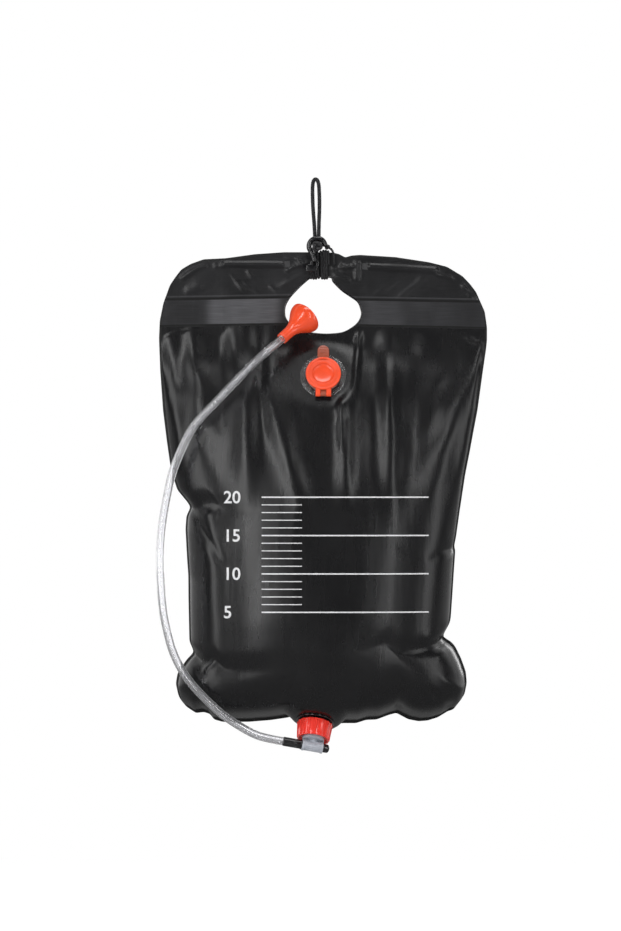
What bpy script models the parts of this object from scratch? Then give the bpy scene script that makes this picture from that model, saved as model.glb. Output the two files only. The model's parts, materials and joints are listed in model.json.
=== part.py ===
"""Camp shower bag: a filled 20 litre hanging bag with its hook, filler lid, outlet valve, hose and head.

Metres, +Z up, -Y towards the viewer. The origin is the inner top of the cord loop that the bag hangs by.
"""

import math

import bmesh
import bpy
from mathutils import Matrix, Vector

# Clearances and shared counts
GAP = 0.0003
OVERRUN = 0.002
MERGE = 0.00001
ROUND_SIDES = 28
SMALL_SIDES = 18
HEAD_SIDES = 24
THREAD_SIDES = 20
CURVE_STEPS = 12
SPRAY_HOLE_SIDES = 6
PORT_SIDES = 10
AUTO_SMOOTH = math.radians(40)

# Bag films
BAG_HALF_WIDTH = 0.200
BAG_DROP = 0.577
BAG_DEPTH = 0.074
BAG_TOP = -0.087
BAG_CENTRE_X = 0.0094
FILM = 0.0008
FILM_COLUMNS = 20
EDGE_CROWDING_SHARE = 0.45
SIDE_POWER = 2.5
DEPTH_POWER = 0.42
HEM_POCKET_DEPTH = 0.0016
HEM_POCKET_START = 0.024
HEM_POCKET_RISE = 0.012
FLAT_PATCH_RADIUS = 0.035
FLAT_PATCH_FADE = 0.026
HOLE_WELD = 0.004
HOLE_WELD_FADE = 0.030

# Handle hole, a mushroom outline
HOLE_HALF_WIDTH = 0.0472
HOLE_HEIGHT = 0.0695
HOLE_CENTRE_X = 0.0091
HOLE_TOP_DROP = 0.0305
HOLE_MIDDLE_SHARE = 0.62
HOLE_HALF_SHARE = 0.40

# Stiffening battens in the hem
BATTEN_HEIGHT = 0.0085
BATTEN_THICKNESS = 0.0020
BATTEN_EDGE = 0.0007
LEFT_BATTEN_LENGTH = 0.087
RIGHT_BATTEN_LENGTH = 0.0895
LEFT_BATTEN_END = 0.0405
RIGHT_BATTEN_END = 0.0473
BATTEN_DROP = 0.0147
RIGHT_BATTEN_SLOPE = math.radians(3.5)
RIGHT_BATTEN_LOWER = 0.0049

# Hang loop, hook and lashing
LOOP_CORD = 0.0045
HOOK_CENTRE_X = 0.0018
HOOK_CENTRE_Y = -0.009
HOOK_DROP = 0.080
HOOK_RING_RADIUS = 0.0097
HOOK_SECTION = 0.0066
HOOK_TIP_ANGLE = math.radians(8)
HOOK_LEAVE_ANGLE = math.radians(196)
HOOK_EYE_RADIUS = 0.0055
HOOK_EYE_BORE = 0.0048
HOOK_EYE_THICKNESS = 0.0050
HOOK_EYE_ACROSS = -0.0031
HOOK_EYE_BELOW = 0.0214
LOOP_KNOT_RADIUS = 0.0047
LOOP_KNOT_DEPTH = 0.0040
LASH_CORD = 0.0030
LASH_TURNS = 2
LASH_SELF_GAP = 0.0005
LASH_CROSSING = 0.0077
LASH_START = 0.0042
LASH_HALF_DEPTH = 0.0040
LASH_POINTS = 24
LASH_FULLNESS = 0.5
CORD_KNOT_RADIUS = 0.0030
CORD_KNOT_ACROSS = 0.0124
CORD_KNOT_Y = -0.0020

# Filler
FILLER_DROP = 0.1516
FILLER_DEPTH = 0.0195
FILLER_TILT = math.radians(22)
FLANGE_RADIUS = 0.028
FLANGE_THICKNESS = 0.0008
NECK_BORE_RADIUS = 0.016
NECK_WALL = 0.0015
NECK_HEIGHT = 0.0074
SEAT_WALL = 0.0030
LID_RADIUS = 0.0215
LID_THICKNESS = 0.0022
LID_EDGE = 0.0006
DISH_RADIUS = 0.0133
DISH_DEPTH = 0.0029
DISH_FLOOR = 0.0014
PLUG_RADIUS = 0.0139
PLUG_BEAD = 0.0010
PLUG_BEAD_HEIGHT = 0.0007
PLUG_REACH = 0.0049
SEAL_THICKNESS = 0.0013
TAB_WIDTH = 0.014
TAB_REACH = 0.037
TAB_THICKNESS = 0.0016
LEG_WIDTH = 0.006
LEG_GAP = 0.007
LEG_THICKNESS = 0.0022
PIN_RADIUS = 0.0011
PIN_OFFSET = 0.026
PIN_HEIGHT = 0.0054
EYE_RADIUS = 0.0029
KNUCKLE_RADIUS = 0.0026
KNUCKLE_FOOT_SHARE = 0.80
KNUCKLE_TOP_SHARE = 0.45

# Outlet
OUTLET_X = -0.0004
OUTLET_Y = -0.030
OUTLET_Z = -0.6584
OUTLET_LEAN = math.radians(7)
OUTLET_FORWARD = math.radians(25)
SPOUT_FLANGE_THICKNESS = 0.0010
SPOUT_RADIUS = 0.0146
SPOUT_BORE_RADIUS = 0.011
SPOUT_LENGTH = 0.015
THREAD_HEIGHT = 0.0016
THREAD_PITCH = 0.0045
THREAD_ROOT = 0.0017
THREAD_CREST = 0.0009
THREAD_SINK = 0.0004
THREAD_START = 0.0048
THREAD_TURNS = 2.0
THREAD_CLEARANCE = 0.0007
GASKET_THICKNESS = 0.0015
COLLAR_TOP_RADIUS = 0.0208
COLLAR_FOOT_RADIUS = 0.0189
COLLAR_RIB_HEIGHT = 0.0010
COLLAR_RIBS = 16
COLLAR_START = 0.0035
COLLAR_HEIGHT = 0.021
COLLAR_LIP = 0.0020
COLLAR_LIP_RADIUS = 0.0139
COLLAR_FOOT_BORE = 0.0172
COLLAR_CHAMFER = 0.0008

# Valve body, spool and grip
VALVE_FLANGE_RADIUS = 0.0158
VALVE_FLANGE = 0.0020
HUB_RADIUS = 0.0135
HUB_BELOW_COLLAR = 0.0017
HUB_BORE_RADIUS = 0.0030
VALVE_TUBE_RADIUS = 0.0055
VALVE_WEB_HALF = 0.0105
VALVE_WEB_THICKNESS = 0.0020
BARREL_RADIUS = 0.0065
BARREL_BORE_RADIUS = 0.0055
BARREL_HALF_LENGTH = 0.013
BARREL_BELOW_COLLAR = 0.0026
BARREL_SLOPE = math.radians(10)
SPOOL_CLEARANCE = 0.0003
SPOOL_TRAVEL = 0.008
SPOOL_DOME = 0.0030
SPOOL_WATERWAY = 0.0020
SPOOL_STEM_RADIUS = 0.0034
SPOOL_PORT_RADIUS = 0.0015
SPOOL_GROOVE_DEPTH = 0.0015
SPOOL_GROOVE_WIDTH = 0.0018
SPOOL_SEAL_SECTION = 0.0011
SPOOL_SEAL_SPACING = 0.0043
GRIP_RADIUS = 0.0053
GRIP_RIB_HEIGHT = 0.0005
GRIP_RIBS = 14
GRIP_LENGTH = 0.0232
GRIP_RIM = 0.0015
GRIP_RIM_RADIUS = 0.0061

# Hose and head
HOSE_DIAMETER = 0.010
HEAD_RIM_X = -0.0125
HEAD_RIM_Y = -0.0155
HEAD_RIM_Z = -0.1668
HEAD_RISE = math.radians(43)
HEAD_BACK = math.radians(33)
HEAD_LENGTH = 0.0465
HEAD_RIM_RADIUS = 0.0202
HEAD_STEM_RADIUS = 0.0070
HEAD_WALL = 0.0016
HEAD_SOCKET = 0.014
HEAD_WATERWAY = 0.0030
PLATE_THICKNESS = 0.0014
PLATE_INSET = 0.0016
PLATE_HOLE_RADIUS = 0.0008
PLATE_RING_HOLES = (6, 12)
PLATE_RING_SPACING = 0.0055

# Places along the outlet's axis that follow from the sizes above
COLLAR_FOOT = COLLAR_START + COLLAR_HEIGHT
HUB_END = COLLAR_FOOT + HUB_BELOW_COLLAR
BARREL_REACH = COLLAR_FOOT + BARREL_BELOW_COLLAR + GRIP_RIM_RADIUS

# Rows of the films from the hem to the foot seam. Drops are shares of BAG_DROP, half widths are shares
# of BAG_HALF_WIDTH, and depths are shares of BAG_DEPTH: centre drop, depth, left drop, left half width,
# right drop, right half width.
PANEL_ROW_SHARES = (
    (0.000, 0.000, 0.015, 0.731, 0.027, 0.712),
    (0.025, 0.000, 0.034, 0.857, 0.053, 0.859),
    (0.061, 0.000, 0.069, 0.936, 0.086, 0.938),
    (0.097, 0.000, 0.106, 0.976, 0.105, 0.966),
    (0.155, 0.000, 0.157, 1.000, 0.161, 1.000),
    (0.207, 0.077, 0.207, 0.997, 0.207, 0.993),
    (0.257, 0.237, 0.257, 0.985, 0.257, 0.972),
    (0.312, 0.400, 0.312, 0.971, 0.312, 0.947),
    (0.376, 0.540, 0.376, 0.956, 0.376, 0.918),
    (0.461, 0.690, 0.461, 0.930, 0.461, 0.871),
    (0.539, 0.800, 0.537, 0.817, 0.539, 0.835),
    (0.609, 0.880, 0.598, 0.841, 0.609, 0.810),
    (0.683, 0.940, 0.683, 0.824, 0.683, 0.795),
    (0.746, 0.980, 0.750, 0.823, 0.746, 0.783),
    (0.800, 1.000, 0.810, 0.820, 0.795, 0.760),
    (0.871, 0.973, 0.846, 0.792, 0.822, 0.730),
    (0.920, 0.920, 0.905, 0.899, 0.901, 0.874),
    (0.955, 0.810, 0.941, 0.881, 0.941, 0.853),
    (0.976, 0.660, 0.966, 0.820, 0.967, 0.786),
    (0.990, 0.345, 0.980, 0.722, 0.985, 0.688),
    (1.000, 0.000, 0.993, 0.618, 0.992, 0.578),
)

# Where the rows of the mesh lie, counted in rows of the table above
PANEL_STEP_SHARES = (0, 0.5, 1, 1.5, 2, 3, 4, 4.8, 5.5, 6.2, 6.9, 7.7, 8.5, 9.3, 10, 10.8,
                     11.8, 12.8, 13.8, 14.6, 15.2, 15.8, 16.5, 17.2, 18, 18.7, 19.4, 20)
WELD_ROW = 4
HEM_ROWS = 2
OUTLET_FROM_ROW = 14

# Outline of the handle hole, clockwise from its top: shares of its half width and of its height
HOLE_OUTLINE_SHARES = (
    (-0.37, 0.00), (0.23, 0.00), (0.27, 0.08), (0.49, 0.23), (0.70, 0.33), (0.90, 0.43), (0.98, 0.55),
    (1.00, 0.66), (0.93, 0.78), (0.78, 0.88), (0.54, 0.97), (0.25, 1.00), (-0.08, 1.00), (-0.50, 0.96),
    (-0.76, 0.89), (-0.95, 0.75), (-1.00, 0.64), (-0.98, 0.50), (-0.87, 0.36), (-0.70, 0.23),
    (-0.50, 0.11),
)

# Profile of the shower head's outside: shares of its length, and of the way from stem to rim radius
HEAD_PROFILE_SHARES = (
    (0.00, 0.00), (0.30, 0.013), (0.44, 0.08), (0.56, 0.235), (0.68, 0.48), (0.79, 0.74), (0.88, 0.91),
    (0.95, 0.985), (0.985, 1.00),
)

# Profile of the spool's domed end: shares of its radius and of the dome's height, from the tip
DOME_SHARES = ((0.40, 0.04), (0.72, 0.22), (0.92, 0.55), (1.0, 1.0))

# Route of the hose's middle line from the valve's grip up the left side to the head, in metres
HOSE_ROUTE = (
    (-0.0560, -0.0498, -0.6788), (-0.0720, -0.0516, -0.6742), (-0.0912, -0.0535, -0.6640),
    (-0.1134, -0.0548, -0.6490), (-0.1356, -0.0545, -0.6285), (-0.1535, -0.0515, -0.6085),
    (-0.1662, -0.0470, -0.5888), (-0.1745, -0.0430, -0.5700), (-0.1805, -0.0400, -0.5485),
    (-0.1850, -0.0380, -0.5262), (-0.1878, -0.0368, -0.4960), (-0.1890, -0.0365, -0.4652),
    (-0.1880, -0.0370, -0.4370), (-0.1850, -0.0380, -0.4107), (-0.1790, -0.0400, -0.3780),
    (-0.1727, -0.0420, -0.3522), (-0.1595, -0.0450, -0.3205), (-0.1452, -0.0480, -0.2960),
    (-0.1165, -0.0530, -0.2655), (-0.0940, -0.0562, -0.2420), (-0.0735, -0.0575, -0.2217),
    (-0.0600, -0.0550, -0.2096), (-0.0505, -0.0490, -0.2020),
)
HOSE_POINTS = 34

# Route of the hang loop's cord, from the knot in the hook's ring, up behind the ring and over to the top,
# in metres from the line between the ring's centre and the loop's top: across, back and up
LOOP_STRAND_ROUTE = (
    (0.0024, -0.0010, 0.0028), (0.0024, 0.0015, 0.0029), (0.0024, 0.0046, 0.0044), (0.0024, 0.0066, 0.0082),
    (0.0024, 0.0064, 0.0130), (0.0026, 0.0052, 0.0200), (0.0030, 0.0040, 0.0300), (0.0037, 0.0028, 0.0420),
    (0.0041, 0.0018, 0.0540), (0.0041, 0.0010, 0.0650), (0.0038, 0.0004, 0.0740), (0.0026, 0.0000, 0.0800),
)
LOOP_POINTS = 46

# Route of the tail from the cord's knot down to the hem, in metres from the knot's centre
TAIL_ROUTE = (
    (0.0028, -0.0008, -0.0017), (0.0050, -0.0010, -0.0032), (0.0068, -0.0010, -0.0062),
    (0.0078, -0.0010, -0.0110), (0.0083, -0.0012, -0.0165), (0.0085, -0.0012, -0.0205),
)
TAIL_POINTS = 8

for old in list(bpy.data.objects):
    bpy.data.objects.remove(old)

PARTS = bpy.data.collections.new("camp_shower_bag")
CUTTERS = bpy.data.collections.new("cutters")
bpy.context.scene.collection.children.link(PARTS)
bpy.context.scene.collection.children.link(CUTTERS)


def smooth_curve(points, count):
    """Even points along a smooth curve through the given points."""
    ends = [points[0] * 2 - points[1], *points, points[-1] * 2 - points[-2]]
    fine = []
    for i in range(len(points) - 1):
        a, b, c, d = ends[i:i + 4]
        for k in range(CURVE_STEPS):
            t = k / CURVE_STEPS
            fine.append(0.5 * (2 * b + (c - a) * t + (2 * a - 5 * b + 4 * c - d) * t * t
                               + (3 * b - a - 3 * c + d) * t * t * t))
    fine.append(points[-1])
    run = [0]
    for i in range(1, len(fine)):
        run.append(run[-1] + (fine[i] - fine[i - 1]).length)
    result = []
    at = 0
    for k in range(count):
        goal = run[-1] * k / (count - 1)
        while at < len(run) - 2 and run[at + 1] < goal:
            at += 1
        part = (goal - run[at]) / (run[at + 1] - run[at])
        result.append(fine[at].lerp(fine[at + 1], min(max(part, 0), 1)))
    return result


def fade(distance, inner, width):
    """1 within the inner distance, falling smoothly to 0 over the width."""
    t = min(max((distance - inner) / width, 0), 1)
    return 1 - t * t * (3 - 2 * t)


def material(name, colour, roughness, metallic=0.0, alpha=1.0):
    mat = bpy.data.materials.new(name)
    mat.use_nodes = True
    shader = mat.node_tree.nodes["Principled BSDF"]
    shader.inputs["Base Color"].default_value = (*colour, 1)
    shader.inputs["Roughness"].default_value = roughness
    shader.inputs["Metallic"].default_value = metallic
    shader.inputs["Alpha"].default_value = alpha
    return mat


MATERIALS = {
    "black_film": material("black_film", (0.020, 0.020, 0.022), 0.38),
    "black_plastic": material("black_plastic", (0.015, 0.015, 0.016), 0.35),
    "black_cord": material("black_cord", (0.012, 0.012, 0.013), 0.75),
    "orange_plastic": material("orange_plastic", (0.900, 0.105, 0.035), 0.35),
    "red_plastic": material("red_plastic", (0.800, 0.060, 0.030), 0.32),
    "grey_plastic": material("grey_plastic", (0.380, 0.400, 0.450), 0.30),
    "clear_film": material("clear_film", (0.600, 0.600, 0.600), 0.15, 0, 0.35),
    "clear_hose": material("clear_hose", (0.800, 0.800, 0.800), 0.12, 0, 0.40),
    "white_rubber": material("white_rubber", (0.650, 0.650, 0.640), 0.60),
    "batten_plastic": material("batten_plastic", (0.030, 0.030, 0.032), 0.50),
}


def add_object(name, mesh, slot, parent=None):
    """Put a mesh in the scene as a named part, shaded smooth across shallow edges."""
    part = bpy.data.objects.new(name, mesh)
    PARTS.objects.link(part)
    mesh.materials.clear()
    mesh.materials.append(MATERIALS[slot])
    mesh.shade_smooth()
    mesh.set_sharp_from_angle(angle=AUTO_SMOOTH)
    part.parent = parent
    return part


def add_cutter(name, mesh, parent=None):
    cutter = bpy.data.objects.new(name, mesh)
    CUTTERS.objects.link(cutter)
    cutter.hide_render = True
    cutter.display_type = "WIRE"
    cutter.parent = parent
    return cutter


def boolean(part, cutter, operation):
    step = part.modifiers.new(cutter.name, "BOOLEAN")
    step.operation = operation
    step.solver = "EXACT"
    step.object = cutter


def cut(part, cutter):
    boolean(part, cutter, "DIFFERENCE")


def join(part, other):
    boolean(part, other, "UNION")


def turned(name, profile, sides=ROUND_SIDES):
    """Mesh turned about Z from a closed profile of (radius, height) points, first point on the outside."""
    bm = bmesh.new()
    ring = [bm.verts.new((r, 0, z)) for r, z in profile]
    edges = [bm.edges.new((ring[i], ring[(i + 1) % len(ring)])) for i in range(len(ring))]
    on_axis = [e for e in edges if all(abs(v.co.x) < MERGE for v in e.verts)]
    for edge in on_axis:
        bm.edges.remove(edge)
    edges = [e for e in edges if e.is_valid]
    bmesh.ops.spin(bm, geom=[*bm.verts, *edges], cent=(0, 0, 0), axis=(0, 0, 1), angle=math.tau,
                   steps=sides, use_merge=True)
    bmesh.ops.remove_doubles(bm, verts=bm.verts, dist=MERGE)
    bmesh.ops.recalc_face_normals(bm, faces=bm.faces)
    mesh = bpy.data.meshes.new(name)
    bm.to_mesh(mesh)
    bm.free()
    return mesh


def cylinder(name, radius, low, high, sides=ROUND_SIDES, axis="Z"):
    """Cylinder mesh along an axis between two places on it."""
    bm = bmesh.new()
    bmesh.ops.create_cone(bm, cap_ends=True, segments=sides, radius1=radius, radius2=radius,
                          depth=high - low)
    bmesh.ops.translate(bm, verts=bm.verts, vec=(0, 0, (low + high) / 2))
    if axis == "X":
        bmesh.ops.rotate(bm, verts=bm.verts, matrix=Matrix.Rotation(math.pi / 2, 3, "Y"))
    if axis == "Y":
        bmesh.ops.rotate(bm, verts=bm.verts, matrix=Matrix.Rotation(-math.pi / 2, 3, "X"))
    mesh = bpy.data.meshes.new(name)
    bm.to_mesh(mesh)
    bm.free()
    return mesh


def block(name, low, high):
    """Box mesh between two corners."""
    bm = bmesh.new()
    bmesh.ops.create_cube(bm, size=1)
    low, high = Vector(low), Vector(high)
    bmesh.ops.scale(bm, verts=bm.verts, vec=high - low)
    bmesh.ops.translate(bm, verts=bm.verts, vec=(low + high) / 2)
    mesh = bpy.data.meshes.new(name)
    bm.to_mesh(mesh)
    bm.free()
    return mesh


def plate(name, outline, thickness, middle):
    """Flat plate in XY from a closed outline, centred on a height."""
    curve = bpy.data.curves.new(name, "CURVE")
    curve.dimensions = "2D"
    curve.fill_mode = "BOTH"
    curve.extrude = thickness / 2
    spline = curve.splines.new("POLY")
    spline.points.add(len(outline) - 1)
    for point, (x, y) in zip(spline.points, outline):
        point.co = (x, y, 0, 1)
    spline.use_cyclic_u = True
    mesh = curve_mesh(name, curve)
    mesh.transform(Matrix.Translation((0, 0, middle)))
    return mesh


def curve_mesh(name, curve):
    """Mesh of a curve, with its caps welded on."""
    holder = bpy.data.objects.new(name, curve)
    bpy.context.scene.collection.objects.link(holder)
    graph = bpy.context.evaluated_depsgraph_get()
    mesh = bpy.data.meshes.new_from_object(holder.evaluated_get(graph))
    mesh.name = name
    bpy.data.objects.remove(holder)
    bm = bmesh.new()
    bm.from_mesh(mesh)
    bmesh.ops.remove_doubles(bm, verts=bm.verts, dist=MERGE)
    bmesh.ops.recalc_face_normals(bm, faces=bm.faces)
    bm.to_mesh(mesh)
    bm.free()
    return mesh


def cord_curve(name, points, radius, resolution):
    """Round bevelled curve with filled caps through the given points."""
    curve = bpy.data.curves.new(name, "CURVE")
    curve.dimensions = "3D"
    curve.bevel_depth = radius
    curve.bevel_resolution = resolution
    curve.use_fill_caps = True
    spline = curve.splines.new("POLY")
    spline.points.add(len(points) - 1)
    for point, place in zip(spline.points, points):
        point.co = (*place, 1)
    return curve


def add_cord(name, points, radius, resolution, slot):
    curve = cord_curve(name, points, radius, resolution)
    curve.materials.append(MATERIALS[slot])
    cord = bpy.data.objects.new(name, curve)
    PARTS.objects.link(cord)
    return cord


def ribbed_outline(radius, rib_height, ribs):
    """Round outline with evenly spaced ribs."""
    points = []
    rise_shares = (0.0, 0.20, 0.32, 0.68, 0.80)
    height_shares = (0.0, 0.0, 1.0, 1.0, 0.0)
    for rib in range(ribs):
        for rise, height in zip(rise_shares, height_shares):
            turn = math.tau * (rib + rise) / ribs
            r = radius + rib_height * height
            points.append((r * math.cos(turn), r * math.sin(turn)))
    return points


def thread(name, root, crest, start, turns):
    """Solid helical ridge about Z between a root radius and a crest radius."""
    bm = bmesh.new()
    steps = round(turns * THREAD_SIDES)
    toward = math.copysign(THREAD_SINK, root - crest)
    rings = []
    for k in range(steps + 1):
        turn = math.tau * k / THREAD_SIDES
        middle = start + THREAD_PITCH * k / THREAD_SIDES
        section = ((root + toward, -THREAD_ROOT / 2), (crest, -THREAD_CREST / 2),
                   (crest, THREAD_CREST / 2), (root + toward, THREAD_ROOT / 2))
        rings.append([bm.verts.new((r * math.cos(turn), r * math.sin(turn), middle + z))
                      for r, z in section])
    for a, b in zip(rings, rings[1:]):
        for i in range(len(a)):
            j = (i + 1) % len(a)
            bm.faces.new((a[i], a[j], b[j], b[i]))
    bm.faces.new(rings[0])
    bm.faces.new(rings[-1])
    bmesh.ops.recalc_face_normals(bm, faces=bm.faces)
    mesh = bpy.data.meshes.new(name)
    bm.to_mesh(mesh)
    bm.free()
    return mesh


def local_frame(name, place, x_axis, z_axis, parent=None):
    """Empty at a place, turned so that its X and Z axes point as given."""
    z = z_axis.normalized()
    x = (x_axis - z * x_axis.dot(z)).normalized()
    y = z.cross(x)
    frame = bpy.data.objects.new(name, None)
    frame.empty_display_size = BAG_DEPTH / 2
    bpy.context.scene.collection.objects.link(frame)
    turn = Matrix((x, y, z)).transposed().to_4x4()
    frame.matrix_world = Matrix.Translation(place) @ turn
    frame.parent = parent
    return frame


# Places that the fittings and the films share
FILLER_PLACE = Vector((BAG_CENTRE_X, -FILLER_DEPTH, BAG_TOP - FILLER_DROP))
FILLER_NORMAL = Vector((0, -math.cos(FILLER_TILT), math.sin(FILLER_TILT)))
OUTLET_PLACE = Vector((OUTLET_X, OUTLET_Y, OUTLET_Z))
OUTLET_AXIS = Vector((-math.sin(OUTLET_LEAN) * math.cos(OUTLET_FORWARD), -math.sin(OUTLET_FORWARD),
                      -math.cos(OUTLET_LEAN) * math.cos(OUTLET_FORWARD)))
BARREL_ACROSS = Vector((math.cos(BARREL_SLOPE), 0, -math.sin(BARREL_SLOPE)))
BARREL_AXIS = Vector((BARREL_ACROSS.x, -(BARREL_ACROSS.x * OUTLET_AXIS.x + BARREL_ACROSS.z * OUTLET_AXIS.z)
                      / OUTLET_AXIS.y, BARREL_ACROSS.z)).normalized()


def row_values(step):
    """The table's six columns at a step between its rows, on a smooth curve."""
    rows = PANEL_ROW_SHARES
    at = min(int(step), len(rows) - 2)
    t = step - at
    a, b, c, d = (rows[min(max(at + k, 0), len(rows) - 1)] for k in (-1, 0, 1, 2))
    values = []
    for p, q, r, s in zip(a, b, c, d):
        values.append(0.5 * (2 * q + (r - p) * t + (2 * p - 5 * q + 4 * r - s) * t * t
                             + (3 * q - p - 3 * r + s) * t * t * t))
    if step <= WELD_ROW:
        values[1] = 0
    return values


def hole_distance(x, z):
    """How far a point of the films lies outside the handle hole's ellipse, in metres."""
    across = x - HOLE_CENTRE_X
    up = z - (BAG_TOP - HOLE_TOP_DROP - HOLE_HEIGHT * HOLE_MIDDLE_SHARE)
    half_height = HOLE_HEIGHT * HOLE_HALF_SHARE
    reach = math.hypot(across / HOLE_HALF_WIDTH, up / half_height)
    return (reach - 1) * half_height


def film_point(column, step, side):
    """Point of a film's middle surface: side is -1 on the front film and 1 on the back film."""
    centre_drop, depth, left_drop, left_half, right_drop, right_half = row_values(step)
    place = column / FILM_COLUMNS * 2 - 1
    half, drop = (left_half, left_drop) if place < 0 else (right_half, right_drop)
    crowded = math.sin(place * math.pi / 2)
    across = place * (1 - EDGE_CROWDING_SHARE) + crowded * EDGE_CROWDING_SHARE
    x = BAG_CENTRE_X + across * half * BAG_HALF_WIDTH
    bend = abs(across) ** 3
    z = BAG_TOP - BAG_DROP * (centre_drop * (1 - bend) + drop * bend)
    full = max(1 - abs(across) ** SIDE_POWER, 0) ** DEPTH_POWER
    out = depth * BAG_DEPTH * full * (1 - fade(hole_distance(x, z), HOLE_WELD, HOLE_WELD_FADE))
    if 0 < step < HEM_ROWS:
        out += HEM_POCKET_DEPTH * (1 - fade(abs(x - BAG_CENTRE_X), HEM_POCKET_START, HEM_POCKET_RISE))
    y = side * (FILM / 2 + GAP / 2 + max(out, 0))
    edge = column in (0, FILM_COLUMNS)
    if side < 0 and not edge:
        # The film lies flat under the filler's flange
        down = Vector((x, 0, z)) - Vector((FILLER_PLACE.x, 0, FILLER_PLACE.z))
        share = fade(down.length, FLAT_PATCH_RADIUS, FLAT_PATCH_FADE)
        seat = FILLER_PLACE - FILLER_NORMAL * (FILM / 2)
        flat = seat.y - FILLER_NORMAL.z * (z - seat.z) / FILLER_NORMAL.y
        y = y * (1 - share) + flat * share
    # The films dip to the plane of the outlet's flange
    seat = OUTLET_PLACE - OUTLET_AXIS * (FILM / 2)
    away = math.hypot(x - OUTLET_PLACE.x, y - OUTLET_PLACE.y)
    share = fade(away, FLAT_PATCH_RADIUS, FLAT_PATCH_FADE) if step > OUTLET_FROM_ROW else 0
    front = min(y, 0)
    flat = seat.z - (OUTLET_AXIS.x * (x - seat.x) + OUTLET_AXIS.y * (front - seat.y)) / OUTLET_AXIS.z
    z = z * (1 - share) + flat * share
    return Vector((x, y, z))


def film_mesh(name, side):
    bm = bmesh.new()
    grid = []
    for step in PANEL_STEP_SHARES:
        grid.append([bm.verts.new(film_point(c, step, side)) for c in range(FILM_COLUMNS + 1)])
    for upper, lower in zip(grid, grid[1:]):
        for c in range(FILM_COLUMNS):
            corners = (upper[c], lower[c], lower[c + 1], upper[c + 1])
            bm.faces.new(corners if side < 0 else corners[::-1])
    mesh = bpy.data.meshes.new(name)
    bm.to_mesh(mesh)
    bm.free()
    return mesh


def add_film(name, side):
    film = add_object(name, film_mesh(name, side), "black_film")
    shell = film.modifiers.new("thickness", "SOLIDIFY")
    shell.thickness = FILM
    shell.offset = 0
    return film


def hole_outline():
    """Smooth closed outline of the handle hole as points of X and Z."""
    corners = []
    for across, down in HOLE_OUTLINE_SHARES:
        corners.append(Vector((HOLE_CENTRE_X + across * HOLE_HALF_WIDTH,
                               BAG_TOP - HOLE_TOP_DROP - down * HOLE_HEIGHT, 0)))
    return corners


def add_bag():
    front = add_film("front_panel", -1)
    back = add_film("back_panel", 1)
    outline = [(p.x, p.y) for p in hole_outline()]
    mesh = plate("handle_hole_cutter", outline, BAG_DEPTH, 0)
    mesh.transform(Matrix.Rotation(math.pi / 2, 4, "X"))
    hole = add_cutter("handle_hole_cutter", mesh)
    cut(front, hole)
    cut(back, hole)
    filler = cylinder("filler_hole_cutter", NECK_BORE_RADIUS, -NECK_HEIGHT, NECK_HEIGHT)
    cut(front, add_cutter("filler_hole_cutter", filler, FILLER))
    outlet = cylinder("outlet_hole_cutter", SPOUT_BORE_RADIUS, -SPOUT_LENGTH / 2, SPOUT_LENGTH / 2)
    cut(front, add_cutter("outlet_hole_cutter", outlet, OUTLET))


def add_batten(name, length, start_x, drop, slope, direction):
    """Rounded flat bar in the hem, from an inner end outwards."""
    x0 = BAG_CENTRE_X + direction * start_x
    mesh = block(name, (0, -BATTEN_THICKNESS / 2, -BATTEN_HEIGHT / 2),
                 (length, BATTEN_THICKNESS / 2, BATTEN_HEIGHT / 2))
    part = add_object(name, mesh, "batten_plastic")
    part.location = (x0, 0, BAG_TOP - drop)
    part.rotation_euler = (0, slope if direction > 0 else math.pi - slope, 0)
    edge = part.modifiers.new("edges", "BEVEL")
    edge.width = BATTEN_EDGE
    edge.segments = 1
    edge.limit_method = "ANGLE"


def add_hanger():
    """Cord loop from the hook's ring up to the origin and down again, and its knot in the ring."""
    centre = Vector((HOOK_CENTRE_X, HOOK_CENTRE_Y, -HOOK_DROP))
    crown = Vector((0, 0, LOOP_CORD / 2))
    strands = []
    for side in (-1, 1):
        strand = []
        for across, back, up in LOOP_STRAND_ROUTE:
            share = max(up, 0) / (crown.z - centre.z)
            middle = centre.lerp(crown, share)
            strand.append(Vector((middle.x + side * across, middle.y + back, centre.z + up)))
        strands.append(strand)
    points = smooth_curve([*strands[0], crown, *reversed(strands[1])], LOOP_POINTS)
    add_cord("hang_loop", points, LOOP_CORD / 2, 2, "black_cord")
    part = add_object("loop_knot", lump("loop_knot", LOOP_KNOT_RADIUS, LOOP_KNOT_DEPTH), "black_cord")
    back = LOOP_STRAND_ROUTE[0][1]
    part.location = centre + Vector((0, back - LOOP_KNOT_DEPTH, -GAP))


def lump(name, radius, depth):
    """Rounded knot-like solid, as deep in Y as given."""
    bm = bmesh.new()
    bmesh.ops.create_uvsphere(bm, u_segments=14, v_segments=8, radius=radius)
    bmesh.ops.scale(bm, verts=bm.verts, vec=(1, depth / radius, 1))
    mesh = bpy.data.meshes.new(name)
    bm.to_mesh(mesh)
    bm.free()
    return mesh


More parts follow.
